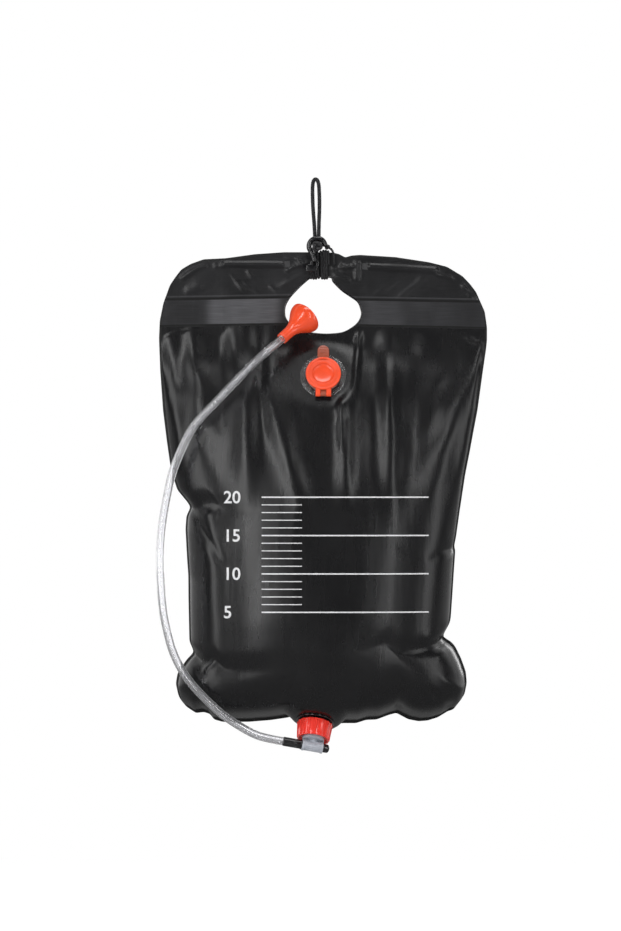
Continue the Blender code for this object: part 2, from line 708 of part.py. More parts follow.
def add_hook():
    """Open ring with a shank that runs down to the lower eye."""
    eye_y = min(HOOK_CENTRE_Y, -(LASH_HALF_DEPTH + LASH_CORD / 2 + GAP + HOOK_SECTION / 2))
    centre = Vector((HOOK_CENTRE_X, HOOK_CENTRE_Y, -HOOK_DROP))
    eye = Vector((HOOK_CENTRE_X + HOOK_EYE_ACROSS, eye_y, -HOOK_DROP - HOOK_EYE_BELOW))
    points = []
    arc_points = 16
    for k in range(arc_points + 1):
        turn = HOOK_TIP_ANGLE + (HOOK_LEAVE_ANGLE - HOOK_TIP_ANGLE) * k / arc_points
        points.append(centre + Vector((math.cos(turn), 0, math.sin(turn))) * HOOK_RING_RADIUS)
    leave = points[-1]
    shank_shares = ((0.28, 0.24), (0.52, 0.48), (0.78, 0.74), (1.0, 1.0))
    foot = eye + Vector((0, 0, HOOK_EYE_RADIUS - HOOK_SECTION / 4))
    for across, down in shank_shares:
        points.append(Vector((leave.x + (foot.x - leave.x) * across, leave.y + (foot.y - leave.y) * down,
                              leave.z + (foot.z - leave.z) * down)))
    mesh = curve_mesh("hook", cord_curve("hook", points, HOOK_SECTION / 2, 2))
    hook = add_object("hook", mesh, "black_plastic")
    half = HOOK_EYE_THICKNESS / 2
    disc = cylinder("hook_eye", HOOK_EYE_RADIUS, -half, half, SMALL_SIDES, "Y")
    disc.transform(Matrix.Translation(eye))
    join(hook, add_cutter("hook_eye", disc))
    bore = cylinder("hook_eye_bore", HOOK_EYE_BORE / 2, -half - OVERRUN, half + OVERRUN, SMALL_SIDES, "Y")
    bore.transform(Matrix.Translation(eye))
    cut(hook, add_cutter("hook_eye_bore", bore))


def add_lashing():
    """Cord wound round the hem through the handle hole, in two bundles of wraps."""
    pitch = LASH_CORD + LASH_SELF_GAP
    half_height = (HOLE_TOP_DROP + LASH_CORD) / 2 + GAP
    middle_z = BAG_TOP - HOLE_TOP_DROP / 2
    start_x = HOOK_CENTRE_X + HOOK_EYE_ACROSS - LASH_START
    points = []
    for k in range((LASH_TURNS * 2 + 1) * LASH_POINTS + 1):
        turns = k / LASH_POINTS
        first = min(turns, LASH_TURNS) * pitch
        crossing = min(max(turns - LASH_TURNS, 0), 1) * LASH_CROSSING
        second = max(turns - LASH_TURNS - 1, 0) * pitch
        angle = math.tau * turns
        y = -math.copysign(abs(math.cos(angle)) ** LASH_FULLNESS, math.cos(angle)) * LASH_HALF_DEPTH
        z = middle_z - math.copysign(abs(math.sin(angle)) ** LASH_FULLNESS, math.sin(angle)) * half_height
        points.append(Vector((start_x + first + crossing + second, y, z)))
    least = self_gap(points, LASH_POINTS // 2) - LASH_CORD
    print(f"hem_lashing: least gap to itself {least * 1000:.2f} mm")
    add_cord("hem_lashing", points, LASH_CORD / 2, 1, "black_cord")


def self_gap(points, skip):
    """Least distance between middle lines of stretches at least `skip` points apart."""
    least = math.inf
    for i in range(len(points) - 1):
        for j in range(i + skip, len(points) - 1):
            least = min(least, segment_distance(points[i], points[i + 1], points[j], points[j + 1]))
    return least


def segment_distance(a, b, c, d):
    least = math.inf
    for s in (0, 0.5, 1):
        p = a.lerp(b, s)
        along = d - c
        t = min(max((p - c).dot(along) / along.dot(along), 0), 1)
        least = min(least, (p - c - along * t).length)
    return least


def add_cord_knot():
    """End knot of the lashing, seated on its last wrap, and the tail that runs down to the hem."""
    lash_top = BAG_TOP + GAP + LASH_CORD
    place = Vector((HOOK_CENTRE_X + CORD_KNOT_ACROSS, CORD_KNOT_Y, lash_top + GAP + CORD_KNOT_RADIUS))
    part = add_object("cord_knot", lump("cord_knot", CORD_KNOT_RADIUS, CORD_KNOT_RADIUS), "black_cord")
    part.location = place
    points = smooth_curve([place + Vector(p) for p in TAIL_ROUTE], TAIL_POINTS)
    add_cord("knot_tail", points, LASH_CORD / 2, 2, "black_cord")


def add_filler():
    """Clear flange and neck, hinged seat, pin, lid and seal, in the filler's own frame."""
    neck_outside = NECK_BORE_RADIUS + NECK_WALL
    low = GAP
    flange = turned("filler_flange", [
        (FLANGE_RADIUS, low + FLANGE_THICKNESS), (FLANGE_RADIUS, low), (NECK_BORE_RADIUS, low),
        (NECK_BORE_RADIUS, NECK_HEIGHT), (neck_outside, NECK_HEIGHT), (neck_outside, low + FLANGE_THICKNESS)])
    add_object("filler_flange", flange, "clear_film", FILLER)

    seat_bore = neck_outside + GAP
    seat_radius = seat_bore + SEAT_WALL
    seat_foot = low + FLANGE_THICKNESS + GAP
    seat = add_object("filler_seat", turned("filler_seat", [
        (seat_radius, NECK_HEIGHT), (seat_radius, seat_foot), (seat_bore, seat_foot),
        (seat_bore, NECK_HEIGHT)]), "orange_plastic", FILLER)
    knuckle_half = LEG_GAP / 2 - GAP
    root = PIN_OFFSET - seat_bore - SEAT_WALL / 2
    root_points = ((root, -KNUCKLE_RADIUS * KNUCKLE_FOOT_SHARE), (root, KNUCKLE_RADIUS * KNUCKLE_TOP_SHARE))
    knuckle = eye_arm("seat_knuckle", KNUCKLE_RADIUS, -knuckle_half, knuckle_half, root_points, 65, 295)
    knuckle.transform(Matrix.Translation((0, -PIN_OFFSET, PIN_HEIGHT)))
    join(seat, add_cutter("seat_knuckle", knuckle, FILLER))
    bore_half = LEG_GAP / 2 + LEG_WIDTH + OVERRUN
    bore = cylinder("hinge_bore", PIN_RADIUS + GAP, -bore_half, bore_half, SMALL_SIDES, "X")
    bore.transform(Matrix.Translation((0, -PIN_OFFSET, PIN_HEIGHT)))
    hinge_bore = add_cutter("hinge_bore", bore, FILLER)
    cut(seat, hinge_bore)

    pin_half = LEG_GAP / 2 + LEG_WIDTH
    pin = cylinder("lid_hinge_pin", PIN_RADIUS, -pin_half, pin_half, SMALL_SIDES, "X")
    part = add_object("lid_hinge_pin", pin, "orange_plastic", FILLER)
    part.location = (0, -PIN_OFFSET, PIN_HEIGHT)

    # The lid's meshes are written about the hinge axis, which is their parent's origin
    lid_low = NECK_HEIGHT + GAP
    lid_high = lid_low + LID_THICKNESS
    dish_top = lid_high - DISH_DEPTH
    dish_under = dish_top - DISH_FLOOR
    plug_end = lid_low - PLUG_REACH
    hinge_turn = Matrix.Translation((0, PIN_OFFSET, -PIN_HEIGHT))
    profile = [
        (LID_RADIUS, lid_high - LID_EDGE), (LID_RADIUS, lid_low), (PLUG_RADIUS, lid_low),
        (PLUG_RADIUS, plug_end + PLUG_BEAD_HEIGHT * 2),
        (PLUG_RADIUS + PLUG_BEAD, plug_end + PLUG_BEAD_HEIGHT),
        (PLUG_RADIUS + PLUG_BEAD / 2, plug_end), (PLUG_RADIUS - DISH_FLOOR, plug_end),
        (PLUG_RADIUS - DISH_FLOOR, dish_under), (0, dish_under), (0, dish_top),
        (DISH_RADIUS - LID_EDGE, dish_top), (DISH_RADIUS, dish_top + LID_EDGE), (DISH_RADIUS, lid_high),
        (LID_RADIUS - LID_EDGE, lid_high)]
    mesh = turned("filler_lid", profile)
    mesh.transform(hinge_turn)
    lid = add_object("filler_lid", mesh, "orange_plastic", LID_HINGE)
    half = TAB_WIDTH / 2
    outline = [(-half, LID_RADIUS - TAB_WIDTH / 3), (half, LID_RADIUS - TAB_WIDTH / 3)]
    bends = 8
    for k in range(bends + 1):
        turn = math.pi * k / bends
        outline.append((half * math.cos(turn), TAB_REACH - half + half * math.sin(turn)))
    tab = plate("lid_tab", outline, TAB_THICKNESS, lid_low + TAB_THICKNESS / 2 + LID_EDGE / 2)
    tab.transform(hinge_turn)
    join(lid, add_cutter("lid_tab", tab, LID_HINGE))
    rim = PIN_OFFSET - LID_RADIUS + LEG_THICKNESS
    rim_low = lid_low - PIN_HEIGHT
    leg_points = ((PIN_OFFSET - seat_radius - GAP * 2, rim_low), (rim, rim_low),
                  (rim, lid_high - PIN_HEIGHT - LID_EDGE))
    for side in (-1, 1):
        near = side * LEG_GAP / 2
        far = side * (LEG_GAP / 2 + LEG_WIDTH)
        label = "left" if side < 0 else "right"
        leg = eye_arm("lid_leg_" + label, EYE_RADIUS, min(near, far), max(near, far), leg_points, 75, 362)
        join(lid, add_cutter("lid_leg_" + label, leg, LID_HINGE))
    lid_bore = cylinder("lid_bore", PIN_RADIUS + GAP, -bore_half, bore_half, SMALL_SIDES, "X")
    cut(lid, add_cutter("lid_bore", lid_bore, LID_HINGE))

    seal_low = plug_end + PLUG_BEAD_HEIGHT * 2 + GAP
    seal_radius = PLUG_RADIUS + GAP + SEAL_THICKNESS / 2
    seal = turned("lid_seal", ring_profile(seal_radius, seal_low + SEAL_THICKNESS / 2, SEAL_THICKNESS / 2))
    seal.transform(hinge_turn)
    add_object("lid_seal", seal, "white_rubber", LID_HINGE)


def eye_arm(name, radius, near, far, root_points, first_degrees, last_degrees):
    """Arm between two places along X, from its root round an eye on the hinge axis."""
    outline = list(root_points)
    bends = 10
    first = math.radians(first_degrees)
    last = math.radians(last_degrees)
    for k in range(bends + 1):
        turn = first + (last - first) * k / bends
        outline.append((radius * math.cos(turn), radius * math.sin(turn)))
    mesh = plate(name, outline, far - near, (near + far) / 2)
    mesh.transform(Matrix(((0, 0, 1, 0), (1, 0, 0, 0), (0, 1, 0, 0), (0, 0, 0, 1))))
    return mesh


def ring_profile(radius, height, half):
    """Round section of a seal ring."""
    sides = 6
    return [(radius + half * math.cos(math.tau * k / sides), height + half * math.sin(math.tau * k / sides))
            for k in range(sides)]


def add_outlet():
    """Threaded spout, gasket and ribbed union nut, in the outlet's own frame."""
    low = GAP
    spout = add_object("outlet_spout", turned("outlet_spout", [
        (FLANGE_RADIUS, low + SPOUT_FLANGE_THICKNESS), (FLANGE_RADIUS, low), (SPOUT_BORE_RADIUS, low),
        (SPOUT_BORE_RADIUS, SPOUT_LENGTH), (SPOUT_RADIUS, SPOUT_LENGTH),
        (SPOUT_RADIUS, low + SPOUT_FLANGE_THICKNESS)]), "black_plastic", OUTLET)
    outer = thread("spout_thread", SPOUT_RADIUS, SPOUT_RADIUS + THREAD_HEIGHT, THREAD_START, THREAD_TURNS)
    join(spout, add_cutter("spout_thread", outer, OUTLET))

    gasket_low = SPOUT_LENGTH + GAP
    gasket_high = gasket_low + GASKET_THICKNESS
    add_object("outlet_gasket", turned("outlet_gasket", [
        (SPOUT_RADIUS, gasket_high), (SPOUT_RADIUS, gasket_low), (SPOUT_BORE_RADIUS, gasket_low),
        (SPOUT_BORE_RADIUS, gasket_high)], SMALL_SIDES), "white_rubber", VALVE)

    flange_low = gasket_high + GAP
    lip_low = flange_low + VALVE_FLANGE + GAP
    lip_high = lip_low + COLLAR_LIP
    thread_bore = SPOUT_RADIUS + THREAD_HEIGHT + THREAD_CLEARANCE
    outline = ribbed_outline(COLLAR_TOP_RADIUS, COLLAR_RIB_HEIGHT, COLLAR_RIBS)
    body = plate("collar_nut", outline, COLLAR_HEIGHT, COLLAR_START + COLLAR_HEIGHT / 2)
    taper = COLLAR_FOOT_RADIUS / COLLAR_TOP_RADIUS
    for vertex in body.vertices:
        if vertex.co.z > COLLAR_FOOT - COLLAR_HEIGHT / 2:
            vertex.co.x *= taper
            vertex.co.y *= taper
    collar = add_object("collar_nut", body, "red_plastic", COLLAR)
    bore = turned("collar_bore", [
        (thread_bore, lip_low), (thread_bore + COLLAR_CHAMFER, COLLAR_START - OVERRUN),
        (0, COLLAR_START - OVERRUN), (0, COLLAR_FOOT + OVERRUN),
        (COLLAR_FOOT_BORE, COLLAR_FOOT + OVERRUN), (COLLAR_FOOT_BORE, lip_high), (COLLAR_LIP_RADIUS, lip_high),
        (COLLAR_LIP_RADIUS, lip_low)])
    cut(collar, add_cutter("collar_bore", bore, COLLAR))
    inner = thread("collar_thread", thread_bore, SPOUT_RADIUS + THREAD_CLEARANCE,
                   THREAD_START + THREAD_PITCH / 2, THREAD_TURNS)
    join(collar, add_cutter("collar_thread", inner, COLLAR))
    return flange_low


def add_valve(flange_low):
    """Valve body with its flanged hub, webs and cross barrel, in the outlet's own frame."""
    flange_high = flange_low + VALVE_FLANGE
    hub = turned("valve_body", [
        (VALVE_FLANGE_RADIUS, flange_high), (VALVE_FLANGE_RADIUS, flange_low), (0, flange_low),
        (0, HUB_END), (HUB_RADIUS, HUB_END), (HUB_RADIUS, flange_high)])
    valve = add_object("valve_body", hub, "grey_plastic", VALVE)
    tube = cylinder("valve_tube", VALVE_TUBE_RADIUS, HUB_END - OVERRUN, BARREL_REACH, SMALL_SIDES)
    join(valve, add_cutter("valve_tube", tube, VALVE))
    web = block("valve_web", (-VALVE_WEB_HALF, -VALVE_WEB_THICKNESS / 2, HUB_END - OVERRUN),
                (VALVE_WEB_HALF, VALVE_WEB_THICKNESS / 2, BARREL_REACH))
    join(valve, add_cutter("valve_web", web, VALVE))
    length = BARREL_HALF_LENGTH
    barrel = cylinder("valve_barrel", BARREL_RADIUS, -length, length, SMALL_SIDES, "X")
    barrel.transform(Matrix.Translation((0, 0, BARREL_REACH)))
    join(valve, add_cutter("valve_barrel", barrel, VALVE))
    bore = cylinder("barrel_bore", BARREL_BORE_RADIUS, -length - OVERRUN, length + OVERRUN, SMALL_SIDES, "X")
    bore.transform(Matrix.Translation((0, 0, BARREL_REACH)))
    cut(valve, add_cutter("barrel_bore", bore, VALVE))
    inlet = cylinder("valve_inlet", HUB_BORE_RADIUS, flange_low - OVERRUN, BARREL_REACH, SMALL_SIDES)
    cut(valve, add_cutter("valve_inlet", inlet, VALVE))


def add_spool():
    """Sliding spool with its seals and grip, along X of the barrel's own frame."""
    radius = BARREL_BORE_RADIUS - SPOOL_CLEARANCE
    end = BARREL_HALF_LENGTH + SPOOL_TRAVEL
    stem_end = -BARREL_HALF_LENGTH - GRIP_LENGTH
    groove = radius - SPOOL_GROOVE_DEPTH
    seals = (-SPOOL_SEAL_SPACING, SPOOL_SEAL_SPACING,
             SPOOL_SEAL_SPACING + SPOOL_TRAVEL - GAP)
    outside = [(radius * share, end - SPOOL_DOME * drop) for share, drop in DOME_SHARES]
    for place in reversed(seals):
        half = SPOOL_GROOVE_WIDTH / 2
        outside += [(radius, place + half), (groove, place + half), (groove, place - half),
                    (radius, place - half)]
    outside += [(radius, -BARREL_HALF_LENGTH), (SPOOL_STEM_RADIUS, -BARREL_HALF_LENGTH),
                (SPOOL_STEM_RADIUS, stem_end), (SPOOL_WATERWAY, stem_end),
                (SPOOL_WATERWAY, SPOOL_TRAVEL + SPOOL_PORT_RADIUS), (0, SPOOL_TRAVEL + SPOOL_PORT_RADIUS),
                (0, end)]
    mesh = turned("valve_spool", outside, SMALL_SIDES)
    spool = add_object("valve_spool", mesh, "black_plastic", SPOOL)
    port = cylinder("spool_port", SPOOL_PORT_RADIUS, -radius - OVERRUN, 0, PORT_SIDES, "Y")
    port.transform(Matrix.Translation((0, 0, SPOOL_TRAVEL)))
    cut(spool, add_cutter("spool_port", port, SPOOL))
    for label, place in zip(("left", "middle", "right"), seals):
        half = SPOOL_SEAL_SECTION / 2
        ring = turned("spool_seal_" + label, ring_profile(groove + GAP + half, place, half), SMALL_SIDES)
        add_object("spool_seal_" + label, ring, "white_rubber", SPOOL)

    rim_face = -BARREL_HALF_LENGTH - GAP
    outline = ribbed_outline(GRIP_RADIUS, GRIP_RIB_HEIGHT, GRIP_RIBS)
    length = GRIP_LENGTH - GRIP_RIM
    body = plate("spool_grip", outline, length, rim_face - GRIP_RIM / 2 - GRIP_LENGTH / 2)
    grip = add_object("spool_grip", body, "black_plastic", SPOOL)
    rim = cylinder("grip_rim", GRIP_RIM_RADIUS, rim_face - GRIP_RIM - GAP, rim_face, SMALL_SIDES)
    join(grip, add_cutter("grip_rim", rim, SPOOL))
    bore = cylinder("grip_bore", SPOOL_STEM_RADIUS + GAP, rim_face - GRIP_LENGTH - OVERRUN,
                    rim_face + OVERRUN, SMALL_SIDES)
    cut(grip, add_cutter("grip_bore", bore, SPOOL))
    return rim_face - GRIP_LENGTH


def head_axis():
    flat = math.cos(HEAD_BACK)
    return Vector((math.cos(HEAD_RISE) * flat, math.sin(HEAD_BACK), math.sin(HEAD_RISE) * flat))


def add_head():
    """Trumpet-shaped head with its spray plate, along Z of its own frame from the stem to the mouth."""
    wall = HEAD_WALL
    flare = HEAD_RIM_RADIUS - HEAD_STEM_RADIUS
    outside = [(HEAD_STEM_RADIUS + flare * r, HEAD_LENGTH * s) for s, r in HEAD_PROFILE_SHARES]
    ledge = HEAD_LENGTH - PLATE_INSET - PLATE_THICKNESS - GAP
    inner_rim = HEAD_RIM_RADIUS - wall
    inside = [(max(r - wall, HEAD_WATERWAY), z + wall / 2) for r, z in outside
              if HEAD_SOCKET < z < ledge - wall * 2]
    profile = list(reversed(outside))
    profile += [(HEAD_WATERWAY, 0), (HEAD_WATERWAY, inside[0][1]), *inside]
    profile += [(inner_rim - wall, ledge), (inner_rim, ledge), (inner_rim, HEAD_LENGTH),
                (HEAD_RIM_RADIUS - wall / 4, HEAD_LENGTH)]
    plate_radius = inner_rim - GAP
    add_object("shower_head", turned("shower_head", profile, HEAD_SIDES), "orange_plastic", HEAD)

    disc = turned("spray_plate", [
        (plate_radius, ledge + GAP + PLATE_THICKNESS), (plate_radius, ledge + GAP), (0, ledge + GAP),
        (0, ledge + GAP + PLATE_THICKNESS)], HEAD_SIDES)
    plate_part = add_object("spray_plate", disc, "orange_plastic", HEAD)
    for ring, count in enumerate(PLATE_RING_HOLES):
        radius = PLATE_RING_SPACING * (ring + 1)
        for k in range(count):
            turn = math.tau * k / count
            hole = cylinder(f"spray_hole_{ring}_{k}", PLATE_HOLE_RADIUS, ledge - OVERRUN,
                            HEAD_LENGTH + OVERRUN, SPRAY_HOLE_SIDES)
            hole.transform(Matrix.Translation((radius * math.cos(turn), radius * math.sin(turn), 0)))
            cut(plate_part, add_cutter(f"spray_hole_{ring}_{k}", hole, HEAD))


def add_hose(grip_end):
    """Clear hose from the grip's face along its route to the head's stem."""
    barrel = OUTLET_PLACE + OUTLET_AXIS * BARREL_REACH
    start = barrel + BARREL_AXIS * (grip_end - GAP)
    lead = HOSE_DIAMETER / 2
    axis = head_axis()
    stem = Vector((HEAD_RIM_X, HEAD_RIM_Y, HEAD_RIM_Z)) - axis * HEAD_LENGTH
    end = stem - axis * GAP
    route = [start, start - BARREL_AXIS * lead, *[Vector(p) for p in HOSE_ROUTE], end]
    points = smooth_curve(route, HOSE_POINTS)
    points[0], points[-1] = start, end
    points.insert(1, start - BARREL_AXIS * lead)
    points.insert(-1, end - axis * lead)
    length = sum((b - a).length for a, b in zip(points, points[1:]))
    print(f"hose: {length:.4f} m long")
    add_cord("hose", points, HOSE_DIAMETER / 2, 3, "clear_hose")


FILLER = local_frame("filler_frame", FILLER_PLACE, Vector((1, 0, 0)), FILLER_NORMAL)
LID_HINGE = local_frame("lid_hinge_frame",
                        FILLER.matrix_world @ Vector((0, -PIN_OFFSET, PIN_HEIGHT)),
                        Vector((1, 0, 0)), FILLER_NORMAL)
OUTLET = local_frame("outlet_frame", OUTLET_PLACE, BARREL_AXIS, OUTLET_AXIS)
VALVE = local_frame("valve_frame", OUTLET_PLACE, BARREL_AXIS, OUTLET_AXIS)
COLLAR = local_frame("collar_frame", OUTLET_PLACE, BARREL_AXIS, OUTLET_AXIS)
SPOOL = local_frame("spool_frame", OUTLET_PLACE + OUTLET_AXIS * BARREL_REACH, OUTLET_AXIS, BARREL_AXIS)
HEAD = local_frame("head_frame", Vector((HEAD_RIM_X, HEAD_RIM_Y, HEAD_RIM_Z)) - head_axis() * HEAD_LENGTH,
                   Vector((0, -1, 0)), head_axis())
bpy.context.view_layer.update()

add_bag()
add_batten("hem_batten_left", LEFT_BATTEN_LENGTH, LEFT_BATTEN_END, BATTEN_DROP, 0, -1)
add_batten("hem_batten_right", RIGHT_BATTEN_LENGTH, RIGHT_BATTEN_END, BATTEN_DROP + RIGHT_BATTEN_LOWER / 2,
           RIGHT_BATTEN_SLOPE, 1)
add_hanger()
add_hook()
add_lashing()
add_cord_knot()
add_filler()
valve_flange_low = add_outlet()
add_valve(valve_flange_low)
hose_start = add_spool()
add_head()
add_hose(hose_start)
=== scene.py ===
"""Looks of a filled camp shower bag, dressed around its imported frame."""

import math

import bmesh
import bpy
import numpy as np
from mathutils import Matrix, Vector
from mathutils.bvhtree import BVHTree
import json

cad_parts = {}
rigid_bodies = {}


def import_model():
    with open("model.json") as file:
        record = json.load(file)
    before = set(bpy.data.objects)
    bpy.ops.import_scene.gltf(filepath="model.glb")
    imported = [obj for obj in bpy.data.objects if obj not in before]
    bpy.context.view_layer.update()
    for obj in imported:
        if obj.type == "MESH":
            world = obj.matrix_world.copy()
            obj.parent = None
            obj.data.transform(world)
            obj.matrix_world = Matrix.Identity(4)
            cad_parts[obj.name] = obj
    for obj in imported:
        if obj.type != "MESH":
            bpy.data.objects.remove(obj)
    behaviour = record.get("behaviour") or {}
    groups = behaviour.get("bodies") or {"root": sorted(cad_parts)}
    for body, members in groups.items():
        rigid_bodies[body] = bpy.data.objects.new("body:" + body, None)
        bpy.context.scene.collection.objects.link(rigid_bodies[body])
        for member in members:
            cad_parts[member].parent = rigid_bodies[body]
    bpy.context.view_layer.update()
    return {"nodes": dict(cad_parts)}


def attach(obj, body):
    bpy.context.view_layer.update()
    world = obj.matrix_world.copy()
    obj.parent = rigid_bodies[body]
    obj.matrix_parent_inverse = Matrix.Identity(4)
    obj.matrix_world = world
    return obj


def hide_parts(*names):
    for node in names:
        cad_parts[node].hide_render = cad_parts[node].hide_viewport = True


for leftover in list(bpy.data.objects):
    bpy.data.objects.remove(leftover)
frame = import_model()

# Scale of the photograph, and the pixel where the cord loop's inner top lies
PIXEL = 0.001221
LOOP_TOP_PX = (315.6, 181.0)
PHOTO_PX = (621, 931)
MILLI = 0.001

# Bag
BAG_TOP = -0.087
BAG_DEPTH = 0.074
BAG_CENTRE_X = 0.0094
FILM = 0.0005
FILM_CUT = 0.02
RIM_OUT = 0.00055
RIM_SHARE = 0.012
SIDE_POWER = 2.5
DEPTH_POWER = 0.42
WELD_SHARE = 0.155
OUTLET_FROM_SHARE = 0.80
FLAT_PATCH_RADIUS = 0.035
FLAT_PATCH_FADE = 0.026
OUTLET_PATCH_RADIUS = 0.0245
OUTLET_PATCH_FADE = 0.017
DEPTH_SHARES = (
    (0.155, 0.0), (0.207, 0.077), (0.257, 0.237), (0.312, 0.400), (0.376, 0.540), (0.461, 0.690),
    (0.539, 0.800), (0.609, 0.880), (0.683, 0.940), (0.746, 0.980), (0.800, 1.000), (0.871, 0.973),
    (0.920, 0.920), (0.955, 0.810), (0.976, 0.660), (0.990, 0.345), (1.0, 0.0))

# Handle hole
HOLE_HALF_WIDTH = 0.0472
HOLE_HEIGHT = 0.0695
HOLE_CENTRE_X = 0.0091
HOLE_TOP_DROP = 0.0305
HOLE_MIDDLE_SHARE = 0.62
HOLE_HALF_SHARE = 0.40
HOLE_WELD = 0.004
HOLE_WELD_FADE = 0.030
HOLE_BEAD = 0.0011
HOLE_OUTLINE_SHARES = (
    (-0.27, 0.00), (0.19, 0.00), (0.27, 0.08), (0.49, 0.23), (0.70, 0.33), (0.90, 0.43), (0.98, 0.55),
    (1.00, 0.66), (0.93, 0.78), (0.78, 0.88), (0.54, 0.97), (0.25, 1.00), (-0.08, 1.00), (-0.50, 0.96),
    (-0.76, 0.89), (-0.95, 0.75), (-1.00, 0.64), (-0.98, 0.50), (-0.87, 0.36), (-0.70, 0.23), (-0.50, 0.10))

# Outline of the bag in the photograph: sides from the top down, top and foot from left to right
LEFT_EDGE_PX = (
    (175.5, 277), (170, 285), (163.4, 303), (159.8, 320.7), (159.0, 338.6), (160.2, 370), (163, 410),
    (166.7, 440), (171, 470), (177.4, 490), (187, 501.5), (190.6, 507), (186.4, 516), (185.5, 529),
    (187, 557), (188.3, 575), (188.5, 600), (189.4, 641), (194.0, 652), (189, 657), (185.5, 661),
    (183, 665), (177.6, 672.7), (175.8, 683.6), (178.5, 695.7), (181, 700))
RIGHT_EDGE_PX = (
    (470, 284), (475.9, 291.7), (484.8, 311.8), (487, 327.4), (487, 340), (486, 349.7), (483, 370),
    (477.5, 410), (473.7, 430), (470, 450), (465, 475.7), (459.6, 511.4), (456.1, 536.4), (454.0, 547),
    (455.4, 549.5), (454.3, 565), (452, 600), (450.7, 618.6), (449.2, 624), (445.4, 630.6), (442.4, 637),
    (450.5, 640.8), (455, 646), (460.7, 657.4), (465.8, 671.4), (466.8, 682.9), (464.5, 694.4), (460, 700))
TOP_EDGE_PX = (
    (175.5, 277), (181.3, 269.4), (191, 263.8), (203.6, 259.3), (225.9, 258.2), (254.9, 254.2),
    (283.9, 252.2), (306.3, 252.2), (333, 252.6), (339, 254), (345.3, 257.5), (351, 255.6), (359.8, 254.9),
    (395.5, 257.1), (429, 262.2), (446.9, 266.7), (462.5, 276.1), (470, 284))
FOOT_EDGE_PX = (
    (181, 700), (186.4, 706.6), (196, 713.0), (203.9, 712), (210, 713.9), (214, 719.4), (222.7, 721.8),
    (248.8, 721.8), (271, 720), (288, 717.5), (292, 716), (300, 721), (332, 724.5), (343, 723.1),
    (356, 723.1), (366, 719.9), (376.5, 719.5), (389, 714.8), (396.3, 712.9), (402, 716), (408.4, 719.3),
    (418.6, 721.2), (427.6, 720.5), (437.8, 717.3), (448, 711), (453, 709.7), (458.2, 703.3), (460, 700))

# Folds and creases of the front film: from, to, half width in pixels and height in millimetres
FRONT_FOLDS_PX = (
    # Soft upright folds under the weld band
    ((192.5, 332), (203, 410), 6.0, 2.2),
    ((232.7, 330), (236, 385), 4.5, 1.4),
    ((245, 330), (247, 478), 8.0, 3.2),
    ((272.9, 330), (270, 400), 5.0, 1.4),
    ((270, 398), (302, 500), 8.0, 2.9),
    ((345, 384), (345, 494), 6.5, 3.4),
    ((359.8, 328), (354.2, 390), 2.2, 2.3),
    ((341, 390), (341, 446), 2.2, 1.4),
    ((388, 335), (389, 420), 6.0, 1.2),
    ((390, 360), (391, 500), 6.5, 3.0),
    ((469, 368), (433.5, 489), 7.5, 2.7),
    ((480, 350), (460, 495), 6.0, 2.2),
    ((170, 326), (174.5, 388), 4.5, 1.0),
    ((174.6, 404), (181, 450), 4.5, 1.3),
    ((218, 332), (222, 420), 5.0, -1.5),
    ((258, 335), (262, 440), 5.0, -1.5),
    ((372, 335), (372, 470), 6.0, -1.5),
    ((425, 345), (412, 470), 7.0, -1.7),
    ((466, 338), (482, 345), 1.8, 1.2),
    # Creases from the notches at the sides
    ((190, 508), (219, 557), 3.0, -2.5),
    ((191, 515), (214, 549), 2.0, 1.4),
    ((186, 498), (214, 520), 4.0, 1.5),
    ((214, 532), (216, 664), 9.0, 2.5),
    ((454, 548), (430, 558), 2.5, -1.5),
    ((444, 636), (435, 650), 2.6, -2.2),
    ((446, 641), (436, 658), 2.2, 1.5),
    ((440, 632), (424, 640), 4.0, 1.4),
    ((193.6, 652), (203, 676), 2.6, -2.2),
    ((202.5, 671), (217, 660.7), 1.8, 1.9),
    ((190, 663), (206, 684), 3.0, 1.4),
    ((330, 640), (330, 664), 16.0, 1.5),
    # Ears
    ((396.5, 712), (404, 690), 3.0, -2),
    ((452, 708), (430, 690), 3.0, -1.7),
    ((462, 690), (440, 676), 3.0, 1.4),
    ((210, 713), (214, 694), 3.0, -2),
    ((200, 713), (206, 698), 2.4, 1.4),
    ((180, 696), (200, 684), 3.0, -1.5))
